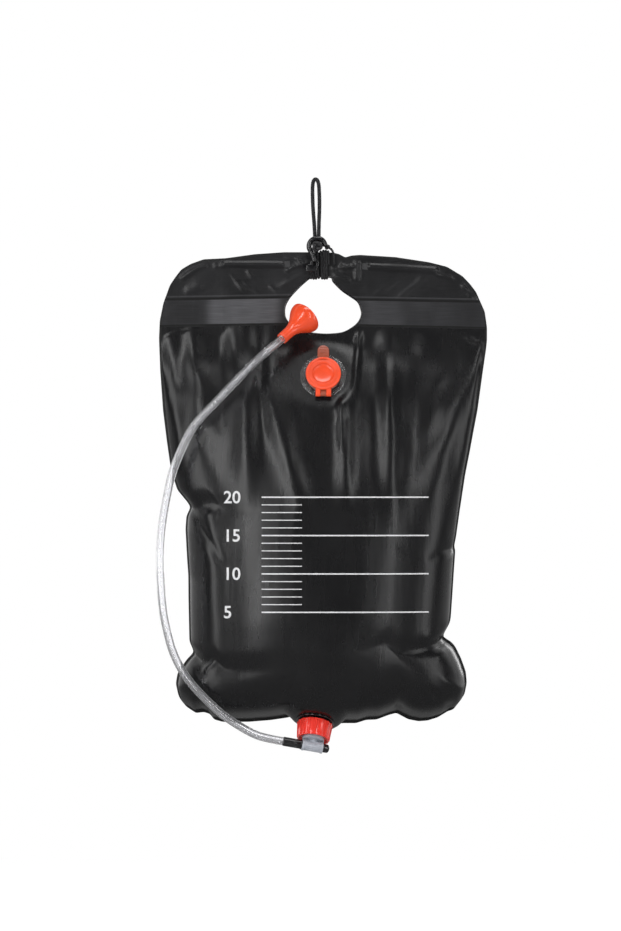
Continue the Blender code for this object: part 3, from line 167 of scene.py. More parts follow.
FLAP_CREASES_PX = (
    ((207, 264), (193, 270.5), 1.8, 1.7),
    ((193, 270.5), (181, 279), 1.8, 1.7),
    ((215, 262), (216, 268), 1.2, 1.3),
    ((219, 261), (221, 268), 1.2, 1.3),
    ((229.2, 272.1), (244.1, 290.5), 1.2, 1),
    ((244.1, 282.5), (260.2, 294.5), 1.3, 0.95),
    ((247.6, 271), (253.3, 277.9), 1.1, 0.95),
    ((269.4, 285.9), (278.6, 293.4), 1.2, 0.95),
    ((283, 265), (288, 271.5), 1.1, 1.3),
    ((288, 271.5), (293.5, 265.5), 1.1, 1.3),
    ((297, 258), (304, 270), 1.5, 1.5),
    ((185, 291), (202, 286), 3.0, 1.1),
    ((345.4, 256), (349.5, 265), 1.6, -1.7),
    ((341, 259), (345, 270), 1.4, 1.3),
    ((349, 263.6), (352.5, 268), 1.2, 1.5),
    ((357, 259), (357, 280), 1.7, 1.7),
    ((336, 258), (338, 272), 1.6, -1.3),
    ((376.1, 294.3), (405.6, 275.4), 2.4, 0.95),
    ((399.7, 296.7), (424.5, 277.8), 2.4, 0.95),
    ((436, 268), (437, 276), 1.3, 1.3),
    ((436, 274.5), (453, 278), 1.5, 1.3),
    ((462, 285), (470, 292), 1.5, 1.5),
    ((466, 283), (471, 296), 1.5, -1.3),
    ((474, 297), (482, 303), 1.6, 1.1),
    # Gathers beside the lashing
    ((307, 257), (284, 257.5), 2.0, 1.5),
    ((306, 262), (290, 268), 1.6, 1.4),
    ((306, 269), (288, 276), 1.8, -1.2),
    ((305, 273), (281, 286), 1.8, 0.9),
    ((334, 257), (344, 255), 1.6, 1.2),
    ((333, 263), (352, 259), 1.8, -1.3),
    ((333, 268), (353, 266), 1.6, 1.4),
    ((334, 274), (352, 282), 2.0, 0.9))
BACK_FOLDS_PX = (
    ((205, 335), (214, 430), 7.0, 2.2),
    ((262, 330), (258, 470), 8.0, 2.5),
    ((318, 340), (322, 480), 9.0, 2.4),
    ((375, 332), (382, 450), 7.0, 2.2),
    ((438, 340), (426, 470), 8.0, 2.4),
    ((190, 508), (219, 557), 3.0, -2.2),
    ((443, 637), (432, 651), 2.6, -2.4),
    ((193.6, 652), (203, 676), 2.6, -2.4),
    ((212, 560), (216, 660), 9.0, 1.8),
    ((430, 540), (428, 630), 9.0, 1.8))

# Raised strips over the hem's battens: from, to and half width in pixels
BATTEN_RELIEFS_PX = (((223, 264.4), (283, 264.4), 4.1), ((368.5, 266.3), (436.5, 270.4), 4.6))
BATTEN_RELIEF = 0.0022

# Weld band between flap and reservoir: height of its two lines at the bag's left, middle and right
BAND_TOP_PX = ((155, 299.7), (290, 297.2), (360, 299.6), (490, 302))
BAND_FOOT_PX = ((155, 326.1), (290, 323.8), (360, 325.2), (490, 328))
BAND_PRESSED = 0.00035

# Simulated cloth of the filled bag, whose small wrinkles the films take over
CLOTH_STEP = 0.0055
CLOTH_WIDTH = 0.400
CLOTH_LENGTH = 0.511
CLOTH_TOP = -0.176
CLOTH_CORNER = 0.055
CLOTH_GAP = 0.0015
CLOTH_FRAMES = 46
CLOTH_STIFFNESS = {
    "quality": 8, "mass": 0.0004, "air_damping": 5,
    "tension_stiffness": 60, "compression_stiffness": 60, "shear_stiffness": 40, "bending_stiffness": 0.02,
    "tension_damping": 10, "compression_damping": 10, "shear_damping": 10, "bending_damping": 0.5}
CLOTH_TOP_WELD = (0.050, 0.020)
GRAVITY = 9.81
WATER_PUSH = 0.08
WATER_VOLUME = 0.0165
WATER_LEVEL = -0.26
WATER_EASE = 0.08
WATER_REACH = 0.255
WRINKLE_SPREAD = 5
WRINKLE_SHARE = 0.36
WRINKLE_MOST = 0.0018
WRINKLE_SOFTNESS = 1.3

# Filler, in its own frame
FILLER_PLACE = Vector((BAG_CENTRE_X, -0.0195, -0.2386))
FILLER_TILT = math.radians(22)
FILLER_NORMAL = Vector((0, -math.cos(FILLER_TILT), math.sin(FILLER_TILT)))
FLANGE_RADIUS = 0.028
FLANGE_LOW = 0.0003
FLANGE_THICKNESS = 0.0008
FLANGE_WELD_RADII = (0.0228, 0.0245, 0.0262)
WELD_LINE_HALF = 0.0005
WELD_LINE_HEIGHT = 0.0004
NECK_BORE_RADIUS = 0.016
NECK_WALL = 0.0015
NECK_HEIGHT = 0.0074
NECK_FILLET = 0.0012
NECK_CUT = 0.006
SEAT_RADIUS = 0.0208
SEAT_BORE = 0.0178
SEAT_FOOT = 0.0014
LID_LOW = 0.0077
LID_HIGH = 0.0099
LID_RADIUS = 0.0215
DISH_RADIUS = 0.0133
DISH_DEPTH = 0.0029
DISH_FLOOR = 0.0014
DISH_SHARES = (
    (0, 0.02), (0.25, 0.03), (0.5, 0.06), (0.7, 0.12), (0.82, 0.21), (0.90, 0.33), (0.95, 0.50),
    (0.985, 0.75), (1.0, 0.93))
PLUG_RADIUS = 0.0139
PLUG_END = 0.0028
PLUG_BEAD = 0.0010
PLUG_BEAD_HEIGHT = 0.0014
LID_GROOVE = 0.0003
LID_GROOVE_INSIDE = 0.0030
LID_GROOVE_OUTSIDE = 0.0022
LID_GROOVE_SLOPE = 0.0004
TAB_WIDTH = 0.014
TAB_REACH = 0.037
TAB_THICKNESS = 0.0016
TAB_ROOT = 0.0045
TAB_GRIPS = 4
TAB_GRIP_INSET = 0.0024
TAB_GRIP_WIDTH = 0.0009
TAB_GRIP_STEP = 0.0022
TAB_GRIP_START = 0.0030
LEG_WIDTH = 0.006
LEG_GAP = 0.007
LEG_THICKNESS = 0.0022
PIN_RADIUS = 0.0011
PIN_OFFSET = 0.026
PIN_HEIGHT = 0.0054
EYE_RADIUS = 0.0029
KNUCKLE_RADIUS = 0.0026
SMALL_GAP = 0.0003

# Outlet, valve and spool, in the outlet's own frame
OUTLET_PLACE = Vector((-0.0004, -0.030, -0.6584))
OUTLET_LEAN = math.radians(7)
OUTLET_FORWARD = math.radians(25)
BARREL_SLOPE = math.radians(10)
SPOUT_RADIUS = 0.0146
SPOUT_BORE_RADIUS = 0.011
SPOUT_LENGTH = 0.015
SPOUT_FLANGE = 0.0010
SPOUT_FILLET = 0.0010
SPOUT_FLANGE_RADIUS = 0.0235
SPOUT_WELD_RADIUS = 0.0220
THREAD_HEIGHT = 0.0016
THREAD_PITCH = 0.0045
THREAD_START = 0.0048
THREAD_TURNS = 2.0
COLLAR_START = 0.0035
COLLAR_FOOT = 0.0245
COLLAR_TOP_RADIUS = 0.0208
COLLAR_FOOT_RADIUS = 0.0189
COLLAR_RIB = 0.0010
COLLAR_RIB_WIDTHS = (0.0044, 0.0026)
COLLAR_RIBS = 16
COLLAR_BORE = 0.0169
COLLAR_LIP_LOW = 0.0194
COLLAR_LIP_HIGH = 0.0214
COLLAR_LIP_RADIUS = 0.0139
COLLAR_FOOT_BORE = 0.0172
VALVE_FLANGE_LOW = 0.0171
VALVE_FLANGE_HIGH = 0.0191
VALVE_FLANGE_RADIUS = 0.0158
HUB_RADIUS = 0.0135
HUB_END = 0.0262
VALVE_TUBE_RADIUS = 0.0055
VALVE_TUBE_BORE = 0.0030
VALVE_WEB_HALF = 0.0105
VALVE_WEB = 0.0020
VALVE_WEB_INSIDE = 0.0040
VALVE_WEB_FLARE = 0.001
BARREL_REACH = 0.0332
BARREL_RADIUS = 0.0065
BARREL_BORE = 0.0055
BARREL_CUT = 0.02
BARREL_RIM = 0.0006
BARREL_RIM_WIDTH = 0.0030
BARREL_HALF_LENGTH = 0.013
SPOOL_RADIUS = 0.0052
SPOOL_BORE = 0.0020
SPOOL_BORE_WALL = 0.0015
SPOOL_TRAVEL = 0.008
SPOOL_DOME = 0.0030
SPOOL_STEM_RADIUS = 0.0034
GRIP_RADIUS = 0.0053
GRIP_RIB = 0.0003
GRIP_RIB_WIDTHS = (0.0014, 0.0008)
GRIP_RIBS = 14
GRIP_LENGTH = 0.0232
GRIP_RIM = 0.0015
GRIP_RIM_RADIUS = 0.0061

# Shower head, along its axis from the stem to the mouth
HEAD_RIM_PLACE = Vector((-0.0125, -0.0155, -0.1668))
HEAD_RISE = math.radians(43)
HEAD_BACK = math.radians(33)
HEAD_LENGTH = 0.0465
HEAD_RIM_RADIUS = 0.0202
HEAD_STEM_RADIUS = 0.0070
HEAD_SOLID_STEM = 0.014
HEAD_BORE = 0.0030
HEAD_WALL = 0.0016
PLATE_THICKNESS = 0.0014
PLATE_INSET = 0.0016
PLATE_HOLE = 0.0008
PLATE_RING_HOLES = (6, 12)
PLATE_RING_SPACING = 0.0055
HEAD_PROFILE_SHARES = (
    (0, 0), (0.30, 0.013), (0.44, 0.08), (0.56, 0.235), (0.68, 0.48), (0.79, 0.74), (0.88, 0.91),
    (0.95, 0.985), (1.00, 1.00))

# Hook and cords
HOOK_PLACE = Vector((0.0018, -0.009, -0.080))
HOOK_RING_RADIUS = 0.0097
HOOK_SECTION = 0.0066
HOOK_TIP = math.radians(8)
HOOK_LEAVE = math.radians(196)
HOOK_EYE = Vector((-0.0013, -0.009, -0.1014))
HOOK_EYE_RADIUS = 0.0055
HOOK_EYE_BORE = 0.0024
HOOK_EYE_HALF = 0.0025
HOOK_EYE_CUT = 0.006
HOOK_FOOT_SIZE = (0.0140, 0.0052, 0.0092)
HOOK_FOOT_PLACE = Vector((-0.0047, -0.0090, -0.1063))
HOOK_SHANK_SHARES = ((0.28, 0.24), (0.52, 0.48), (0.78, 0.74), (1.0, 1.0))
LOOP_CORD = 0.0045
LOOP_STRAND_ROUTE = (
    (0.0024, -0.0010, 0.0028), (0.0024, 0.0015, 0.0029), (0.0024, 0.0046, 0.0044), (0.0024, 0.0066, 0.0082),
    (0.0024, 0.0064, 0.0130), (0.0026, 0.0052, 0.0200), (0.0030, 0.0040, 0.0300), (0.0037, 0.0028, 0.0420),
    (0.0041, 0.0018, 0.0540), (0.0041, 0.0010, 0.0650), (0.0038, 0.0004, 0.0740), (0.0026, 0.0000, 0.0800))
LOOP_KNOT_PLACE = Vector((0.0018, -0.0150, -0.0803))
LOOP_KNOT_REACH = 0.0027
LOOP_KNOT_SWING = 0.0013
LOOP_KNOT_SQUASH = (1.3, 1, 1.25)
KNOT_CORD_SHARE = 0.85
LASH_CORD = 0.0030
LASH_TURNS = 3
LASH_PITCH = 0.0029
LASH_CROSSING = 0.0046
LASH_START_X = -0.0060
LASH_BUNDLES_X = (-0.0013, 0.0109)
LASH_BULGE = 0.0012
LASH_BUNDLE_HALF = 0.0055
LASH_MIDDLE_Z = -0.10225
LASH_HALF_DEPTH = 0.0040
LASH_HALF_HEIGHT = 0.01705
LASH_FULLNESS = 0.5
CORD_KNOT_PLACE = Vector((0.0142, -0.0020, -0.0804))
CORD_KNOT_REACH = 0.0015
CORD_KNOT_SWING = 0.0009
TAIL_ROUTE = (
    (0.0028, -0.0008, -0.0017), (0.0050, -0.0010, -0.0032), (0.0068, -0.0010, -0.0062),
    (0.0078, -0.0010, -0.0110), (0.0083, -0.0012, -0.0165), (0.0085, -0.0012, -0.0205))
HOSE_DIAMETER = 0.010
HOSE_BORE = 0.0070
HOSE_ROUTE = (
    (-0.0560, -0.0498, -0.6788), (-0.0720, -0.0516, -0.6742), (-0.0912, -0.0535, -0.6640),
    (-0.1134, -0.0548, -0.6490), (-0.1356, -0.0545, -0.6285), (-0.1535, -0.0515, -0.6085),
    (-0.1662, -0.0470, -0.5888), (-0.1745, -0.0430, -0.5700), (-0.1805, -0.0400, -0.5485),
    (-0.1850, -0.0380, -0.5262), (-0.1878, -0.0368, -0.4960), (-0.1890, -0.0365, -0.4652),
    (-0.1880, -0.0370, -0.4370), (-0.1850, -0.0380, -0.4107), (-0.1790, -0.0400, -0.3780),
    (-0.1727, -0.0420, -0.3522), (-0.1595, -0.0450, -0.3205), (-0.1452, -0.0480, -0.2960),
    (-0.1165, -0.0530, -0.2655), (-0.0940, -0.0562, -0.2420), (-0.0735, -0.0575, -0.2217),
    (-0.0600, -0.0550, -0.2096), (-0.0505, -0.0490, -0.2020))

# Level scale printed on the front film: its marks in pixels, and its letters in metres
SCALE_ROWS_PX = ((497, "20"), (535, "15"), (573, "10"), (611, "5"))
SCALE_LEFT_PX = 224
SCALE_LINE_PX = (262, 428)
SCALE_TICK_PX = 40
SCALE_TICKS = 4
SCALE_LETTER = 0.021
SCALE_LINE = 0.0016
SCALE_TICK = 0.0011
SCALE_BEND = 0.0025
INK = 0.00020

# Camera, light and ground
CAMERA_DISTANCE = 8.0
SENSOR = 36.0
GROUND_Z = -0.97
GROUND_SIZE = 14.0
GROUND_LIT = 0.36
GROUND_SHADOW_REACH = (0.6, 2.4)
GROUND_GLOSS = 0.28
AMBIENT = 0.35
FRONT_GLOSS = 0.04
LAMP_TARGET = Vector((BAG_CENTRE_X, 0, -0.42))
# Name, place, width and height, and brightness of each lamp
LAMPS = (
    ("left_softbox", (-2.1, -1.5, 0.1), (0.9, 2.0), 3.2),
    ("right_softbox", (2.2, -1.2, -0.2), (0.6, 2.0), 2.6),
    ("top_softbox", (0.2, -1.3, 1.9), (1.6, 0.7), 5.2),
    ("back_softbox", (1.9, 2.3, 0.6), (0.6, 1.8), 5.0),
    ("left_strip", (-1.25, -3.1, 0.35), (0.36, 2.2), 10.0),
    ("right_strip", (1.35, -3.0, 0.25), (0.26, 2.1), 8.0))


def spot(px, py):
    """X and Z of a pixel of the photograph, in metres."""
    return (px - LOOP_TOP_PX[0]) * PIXEL, (LOOP_TOP_PX[1] - py) * PIXEL


def pixels(x, z):
    """The photograph's pixel of a place, as two numbers or two arrays."""
    return x / PIXEL + LOOP_TOP_PX[0], LOOP_TOP_PX[1] - z / PIXEL


class Flow:
    """A node's output socket; sums with numbers or other sockets add the nodes that work them out."""

    def __init__(self, maker, socket):
        self.maker = maker
        self.socket = socket

    def sum_with(self, operation, *values):
        return self.maker.node("ShaderNodeMath", {"operation": operation}, dict(enumerate(values)))

    def __add__(self, other):
        return self.sum_with("ADD", self, other)

    def __sub__(self, other):
        return self.sum_with("SUBTRACT", self, other)

    def __rsub__(self, other):
        return self.sum_with("SUBTRACT", other, self)

    def __mul__(self, other):
        return self.sum_with("MULTIPLY", self, other)

    def __truediv__(self, other):
        return self.sum_with("DIVIDE", self, other)

    __radd__ = __add__
    __rmul__ = __mul__

    def least(self, other):
        return self.sum_with("MINIMUM", self, other)

    def most(self, other):
        return self.sum_with("MAXIMUM", self, other)

    def size(self):
        return self.sum_with("ABSOLUTE", self)

    def ease(self, low, high):
        """0 up to the low value and 1 from the high one on, smoothly."""
        return self.maker.node("ShaderNodeMapRange", {"interpolation_type": "SMOOTHSTEP"},
                               {"Value": self, "From Min": low, "From Max": high})

    def between(self, low, high, soft):
        """1 from the low value to the high one and 0 elsewhere, with soft ends."""
        return self.ease(low - soft, low + soft) * (1 - self.ease(high - soft, high + soft))


class Maker:
    """Adds nodes to a tree."""

    def __init__(self, tree):
        self.tree = tree

    def node(self, kind, settings=None, values=None, output=0):
        """Adds one node: its settings first, then its sockets' values or links."""
        step = self.tree.nodes.new(kind)
        for name, setting in (settings or {}).items():
            setattr(step, name, setting)
        for name, value in (values or {}).items():
            if isinstance(value, Flow):
                self.tree.links.new(value.socket, step.inputs[name])
            else:
                step.inputs[name].default_value = value
        return Flow(self, step.outputs[output])

    def place(self):
        return self.node("ShaderNodeTexCoord", output="Object")

    def cut(self):
        return self.node("ShaderNodeUVMap", {"uv_map": "cut"})

    def axis(self, vector, name):
        return self.node("ShaderNodeSeparateXYZ", None, {0: vector}, name)

    def stretched(self, vector, scale):
        return self.node("ShaderNodeMapping", None, {"Vector": vector, "Scale": scale})

    def noise(self, vector, scale, detail=3.0, roughness=0.5):
        return self.node("ShaderNodeTexNoise", None, {"Vector": vector, "Scale": scale, "Detail": detail,
                                                      "Roughness": roughness})

    def blend(self, factor, first, second):
        """Colour between two colours or colour sockets."""
        first = first if isinstance(first, Flow) else (*first, 1)
        second = second if isinstance(second, Flow) else (*second, 1)
        return self.node("ShaderNodeMix", {"data_type": "RGBA"}, {0: factor, 6: first, 7: second}, 2)

    def bump(self, height, strength, distance, under=None):
        values = {"Height": height, "Strength": strength, "Distance": distance}
        if under:
            values["Normal"] = under
        return self.node("ShaderNodeBump", None, values)


class Finish(Maker):
    """A material on one Principled shader. Fixed values are set on the shader's own sockets."""

    def __init__(self, name, **fixed):
        self.material = bpy.data.materials.new(name)
        self.material.use_nodes = True
        super().__init__(self.material.node_tree)
        self.shader = self.tree.nodes["Principled BSDF"]
        for label, value in fixed.items():
            self.shader.inputs[label.replace("_", " ")].default_value = value

    def feed(self, **flows):
        for label, flow in flows.items():
            self.tree.links.new(flow.socket, self.shader.inputs[label.replace("_", " ")])


def moulded(name, colour, roughness, marks=0.03, grain=0.10, **fixed):
    """Injection-moulded plastic: a little unevenness in its colour, gloss and surface."""
    finish = Finish(name, **fixed)
    place = finish.place()
    cloud = finish.noise(place, 60.0, 2.0)
    fine = finish.noise(place, 1400.0, 2.0)
    darker = tuple(c * 0.96 for c in colour)
    lighter = tuple(min(c * 1.03, 1) for c in colour)
    scuff = finish.noise(finish.stretched(place, (300, 900, 260)), 1.0, 5.0, 0.7).ease(0.58, 0.76)
    finish.feed(Base_Color=finish.blend(cloud.ease(0.3, 0.7), darker, lighter),
                Roughness=roughness + cloud * 0.06 - 0.03 + scuff * marks,
                Normal=finish.bump(fine, grain, 0.00008))
    return finish.material


def black_film():
    """Glossy black PVC: level grain, hazier flap, pressed weld band between two dark lines with painted sheen
    patches on it and a painted highlight line just over its top, pressed rim with painted shade.
    """
    finish = Finish("black_film", Specular_IOR_Level=0.40)
    place = finish.place()
    cut = finish.cut()
    across = finish.axis(cut, "X")
    down = finish.axis(cut, "Y")
    in_band = finish.axis(finish.node("ShaderNodeUVMap", {"uv_map": "band"}), "Y")
    cloud = finish.noise(place, 14.0, 4.0, 0.6)
    level = finish.noise(finish.stretched(place, (28, 28, 1700)), 1.0, 3.0, 0.55)
    pebble = finish.noise(place, 1500.0, 2.0)
    streak = finish.noise(finish.stretched(place, (85, 85, 6)), 1.0, 3.0, 0.55)
    patch = finish.noise(finish.stretched(place, (26, 26, 8)), 1.0, 2.0, 0.5).ease(0.35, 0.65)
    # Painted sheen: lighter patches across the weld band where reflections fall
    painted_sheen_patches = across.between(0.15, 0.365, 0.02).most(across.between(0.62, 0.74, 0.03) * 0.35)
    flap = 1 - in_band.ease(0.98, 1.02)
    band = flap * in_band.ease(-0.02, 0.02)
    lines = (1 - in_band.size().ease(0.030, 0.055)).most(1 - (in_band - 1).size().ease(0.030, 0.055))
    # Painted highlight: a thin light line just over the weld band's top edge
    painted_highlight_line = 1 - (in_band + 0.10).size().ease(0.01, 0.04)
    rim = across.least(1 - across).least(down.least(1 - down) * 1.4)
    # Painted shade: the pressed rim round the film's edges is made darker in colour
    pressed = 1 - rim.ease(RIM_SHARE * 0.35, RIM_SHARE * 0.6)
    dust = (level.ease(0.40, 0.75) * 0.6 + cloud.ease(0.35, 0.7) * 0.4) * flap
    # The weld band's own lighter tone, with the painted sheen patches on it
    band_tone_and_painted_sheen = (0.6 + level.ease(0.36, 0.68) * 0.4) * (0.12 + patch * 0.10 + painted_sheen_patches * 0.70) * band
    dark = finish.blend(cloud.ease(0.25, 0.75), (0.0052, 0.0052, 0.0058), (0.0078, 0.0076, 0.0084))
    colour = finish.blend(dust, dark, (0.014, 0.014, 0.016))
    # Lighter grey of the band: partly its own tone, partly painted sheen
    colour = finish.blend(band_tone_and_painted_sheen, colour, (0.105, 0.105, 0.113))
    # Painted highlight line over the band's top edge
    colour = finish.blend(painted_highlight_line * 0.35, colour, (0.08, 0.08, 0.085))
    # Dark weld lines at the band's edges, and painted shade on the pressed rim
    colour = finish.blend(lines.most(pressed * 0.8), colour, (0.0015, 0.0015, 0.0016))
    dull = lines.most(pressed * 0.5)
    grain = finish.bump(level * 0.8 + pebble * 0.2, 0.22, 0.0002)
    finish.feed(Base_Color=colour,
                Roughness=0.27 + cloud * 0.06 + flap * 0.03 + dust * 0.08 + dull * 0.4 - streak * 0.05,
                Normal=finish.bump(streak, 0.22, 0.0012, grain))
    return finish.material


def black_cord():
    """Braided cord: dark threads with a dull sheen."""
    finish = Finish("black_cord", Specular_IOR_Level=0.45, Sheen_Weight=0.12, Sheen_Roughness=0.4)
    place = finish.place()
    thread = finish.noise(place, 2600.0, 2.0)
    cloud = finish.noise(place, 240.0, 3.0)
    finish.feed(Base_Color=finish.blend(cloud.ease(0.3, 0.7), (0.006, 0.006, 0.007), (0.016, 0.016, 0.018)),
                Roughness=0.34 + thread * 0.16,
                Normal=finish.bump(thread, 0.5, 0.0002))
    return finish.material


def clear_plastic(name, tint, roughness, clearness, skin):
    """Clear soft PVC, a little milky."""
    finish = Finish(name, Transmission_Weight=clearness, IOR=1.24, Specular_IOR_Level=0.9,
                    Coat_Weight=skin, Coat_Roughness=0.04, Coat_IOR=1.58)
    place = finish.place()
    cloud = finish.noise(place, 30.0, 2.0)
    finish.feed(Base_Color=finish.blend(cloud.ease(0.3, 0.7), tint, tuple(c * 0.97 for c in tint)),
                Roughness=roughness + cloud * 0.02)
    return finish.material


def grey_plastic():
    """Cloudy grey polypropylene that lets the parts inside show faintly."""
    finish = Finish("grey_plastic", Specular_IOR_Level=0.5)
    place = finish.place()
    cloud = finish.noise(place, 120.0, 4.0)
    fine = finish.noise(place, 1200.0, 2.0)
    finish.feed(Base_Color=finish.blend(cloud.ease(0.3, 0.7), (0.41, 0.43, 0.48), (0.51, 0.53, 0.585)),
                Roughness=0.24 + cloud * 0.1,
                Alpha=0.80 + cloud * 0.12,
                Normal=finish.bump(fine, 0.2, 0.0001))
    return finish.material


def rubber(name, colour):
    finish = Finish(name)
    place = finish.place()
    cloud = finish.noise(place, 500.0, 4.0)
    finish.feed(Base_Color=finish.blend(cloud, tuple(c * 0.85 for c in colour), colour),
                Roughness=0.55 + cloud * 0.15,
                Normal=finish.bump(cloud, 0.3, 0.0001))
    return finish.material


def white_ink():
    finish = Finish("white_ink")
    place = finish.place()
    wear = finish.noise(place, 700.0, 5.0, 0.7).ease(0.30, 0.62)
    finish.feed(Base_Color=finish.blend(wear, (0.52, 0.52, 0.54), (0.78, 0.78, 0.79)),
                Roughness=0.5 + wear * 0.1,
                Normal=finish.bump(wear, 0.2, 0.00005))
    return finish.material


ORANGE = (0.86, 0.078, 0.022)
FINISHES = {
    "black_film": black_film(),
    "black_cord": black_cord(),
    "black_plastic": moulded("black_plastic", (0.006, 0.006, 0.007), 0.15, Specular_IOR_Level=0.8),
    "orange_plastic": moulded("orange_plastic", ORANGE, 0.20, Coat_Weight=0.4, Coat_Roughness=0.06),
    "orange_tab": moulded("orange_tab", (0.34, 0.075, 0.038), 0.28, Specular_IOR_Level=0.5),
    "red_plastic": moulded("red_plastic", (0.86, 0.045, 0.030), 0.16, Coat_Weight=0.5, Coat_Roughness=0.06),
    "grey_plastic": grey_plastic(),
    "clear_film": clear_plastic("clear_film", (0.95, 0.95, 0.96), 0.02, 0.99, 0.3),
    "clear_hose": clear_plastic("clear_hose", (0.95, 0.95, 0.97), 0.015, 0.945, 1.0),
    "white_rubber": rubber("white_rubber", (0.65, 0.65, 0.64)),
    "batten_plastic": moulded("batten_plastic", (0.03, 0.03, 0.032), 0.45),
    "white_ink": white_ink(),
}


# Meshes

def new_object(name, data):
    """Object in the scene with the given data."""
    item = bpy.data.objects.new(name, data)
    bpy.context.scene.collection.objects.link(item)
    return item


def add_piece(name, mesh, finish, body, replaces=(), matrix=None, smooth=32):
    """A finished piece at the origin: its mesh placed, finished, on its body and in place of its nodes."""
    if matrix is not None:
        mesh.transform(matrix)
    mesh.materials.clear()
    mesh.materials.append(FINISHES[finish])
    mesh.shade_smooth()
    if smooth < 180:
        mesh.set_sharp_from_angle(angle=math.radians(smooth))
    mesh.name = name
    piece = new_object(name, mesh)
    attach(piece, body)
    if replaces:
        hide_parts(*replaces)
    return piece


def baked(holder):
    """Plain mesh of an object with its modifiers, which goes away with them."""
    graph = bpy.context.evaluated_depsgraph_get()
    mesh = bpy.data.meshes.new_from_object(holder.evaluated_get(graph))
    bpy.data.objects.remove(holder)
    return mesh


def holder_of(data):
    return new_object("holder", data)


def mesh_of(bm):
    """Mesh from a bmesh, which is freed."""
    mesh = bpy.data.meshes.new("piece")
    bm.to_mesh(mesh)
    bm.free()
    return mesh


def tidied(bm):
    """Mesh of closed seams and outward faces from a bmesh, which is freed."""
    bmesh.ops.remove_doubles(bm, verts=bm.verts, dist=0.000002)
    bmesh.ops.dissolve_degenerate(bm, edges=bm.edges, dist=0.000001)
    bmesh.ops.recalc_face_normals(bm, faces=bm.faces)
    return mesh_of(bm)


def together(*meshes):
    """One mesh of several closed ones."""
    bm = bmesh.new()
    for mesh in meshes:
        bm.from_mesh(mesh)
    return mesh_of(bm)


def rounded(outline, steps=5):
    """Closed outline of (x, y, rounding) points with each corner rounded."""
    result = []
    for i, (x, y, size) in enumerate(outline):
        here = Vector((x, y))
        before = Vector(outline[i - 1][:2]) - here
        after = Vector(outline[(i + 1) % len(outline)][:2]) - here
        size = min(size, before.length * 0.49, after.length * 0.49)
        if size <= 0:
            result.append((x, y))
            continue
        start = here + before.normalized() * size
        end = here + after.normalized() * size
        for k in range(steps + 1):
            t = k / steps
            point = start * (1 - t) ** 2 + here * (2 * t * (1 - t)) + end * t * t
            result.append((point.x, point.y))
    return result


def arc(centre, radius, first, last, steps):
    """Points round a centre from one angle to another."""
    turns = [first + (last - first) * k / steps for k in range(steps + 1)]
    return [(centre[0] + radius * math.cos(turn), centre[1] + radius * math.sin(turn)) for turn in turns]


def join_rings(bm, rings, closed=False):
    """Faces between rings that have the same number of points."""
    pairs = list(zip(rings, rings[1:]))
    if closed:
        pairs.append((rings[-1], rings[0]))
    for here, after in pairs:
        for i in range(len(here)):
            k = (i + 1) % len(here)
            bm.faces.new((here[i], here[k], after[k], after[i]))


def turned(outline, sides=96):
    """Mesh turned about Z from a closed outline of (radius, height) or (radius, height, rounding) points."""
    outline = rounded([(*p, 0)[:3] for p in outline])
    bm = bmesh.new()
    rings = []
    for s in range(sides):
        turn = math.tau * s / sides
        rings.append([bm.verts.new((r * math.cos(turn), r * math.sin(turn), z)) for r, z in outline])
    for here, after in zip(rings, rings[1:] + rings[:1]):
        for i in range(len(outline)):
            k = (i + 1) % len(outline)
            if abs(here[i].co.xy.length) < 1e-9 and abs(here[k].co.xy.length) < 1e-9:
                continue
            bm.faces.new((here[i], here[k], after[k], after[i]))
    return tidied(bm)


def slab(outline, low, high, edge=0.0, steps=2):
    """Plate in XY between two heights, with its edges rounded."""
    bm = bmesh.new()
    face = bm.faces.new([bm.verts.new((x, y, low)) for x, y in outline])
    lifted = bmesh.ops.extrude_face_region(bm, geom=[face])
    tops = [v for v in lifted["geom"] if isinstance(v, bmesh.types.BMVert)]
    bmesh.ops.translate(bm, verts=tops, vec=(0, 0, high - low))
    bmesh.ops.recalc_face_normals(bm, faces=bm.faces)
    if edge:
        sharp = [e for e in bm.edges if len(e.link_faces) == 2 and e.calc_face_angle(0) > math.radians(50)]
        bmesh.ops.bevel(bm, geom=sharp, offset=edge, segments=steps, profile=0.5, affect="EDGES",
                        clamp_overlap=True)
    return tidied(bm)


def rod(radius, low, high, sides=64, edge=0.0):
    """Solid cylinder about Z."""
    return turned([(radius, low, edge), (radius, high, edge), (0, high), (0, low)], sides)


def weld_ring(radius, top):
    """Outline points of a low ridge round a flange."""
    return [(radius - WELD_LINE_HALF, top, 0.0003), (radius, top + WELD_LINE_HEIGHT, 0.0004),
            (radius + WELD_LINE_HALF, top, 0.0003)]


def without(mesh, other):
    """The first mesh less the second."""
    holder = holder_of(mesh)
    tool = holder_of(other)
    step = holder.modifiers.new("cut", "BOOLEAN")
    step.operation = "DIFFERENCE"
    step.solver = "EXACT"
    step.object = tool
    result = baked(holder)
    bpy.data.objects.remove(tool)
    return result


def spline(points, steps=12, closed=False):
    """Fine points of the smooth curve through the given ones, in any number of dimensions."""
    p = np.array(points, float)
    if closed:
        ends = np.vstack([p[-1:], p, p[:2]])
    else:
        ends = np.vstack([2 * p[:1] - p[1:2], p, 2 * p[-1:] - p[-2:-1]])
    t = (np.arange(steps) / steps)[:, None]
    spans = []
    for a, b, c, d in zip(ends, ends[1:], ends[2:], ends[3:]):
        spans.append(0.5 * (2 * b + (c - a) * t + (2 * a - 5 * b + 4 * c - d) * t ** 2
                            + (3 * b - a - 3 * c + d) * t ** 3))
    fine = np.vstack(spans)
    return fine if closed else np.vstack([fine, p[-1:]])


def evenly(points, count):
    """Points at even distances along a polyline."""
    run = np.concatenate([[0], np.cumsum(np.linalg.norm(np.diff(points, axis=0), axis=1))])
    goal = np.linspace(0, run[-1], count)
    return np.stack([np.interp(goal, run, points[:, k]) for k in range(points.shape[1])], axis=1)


def route_length(points):
    return float(np.linalg.norm(np.diff(points, axis=0), axis=1).sum())


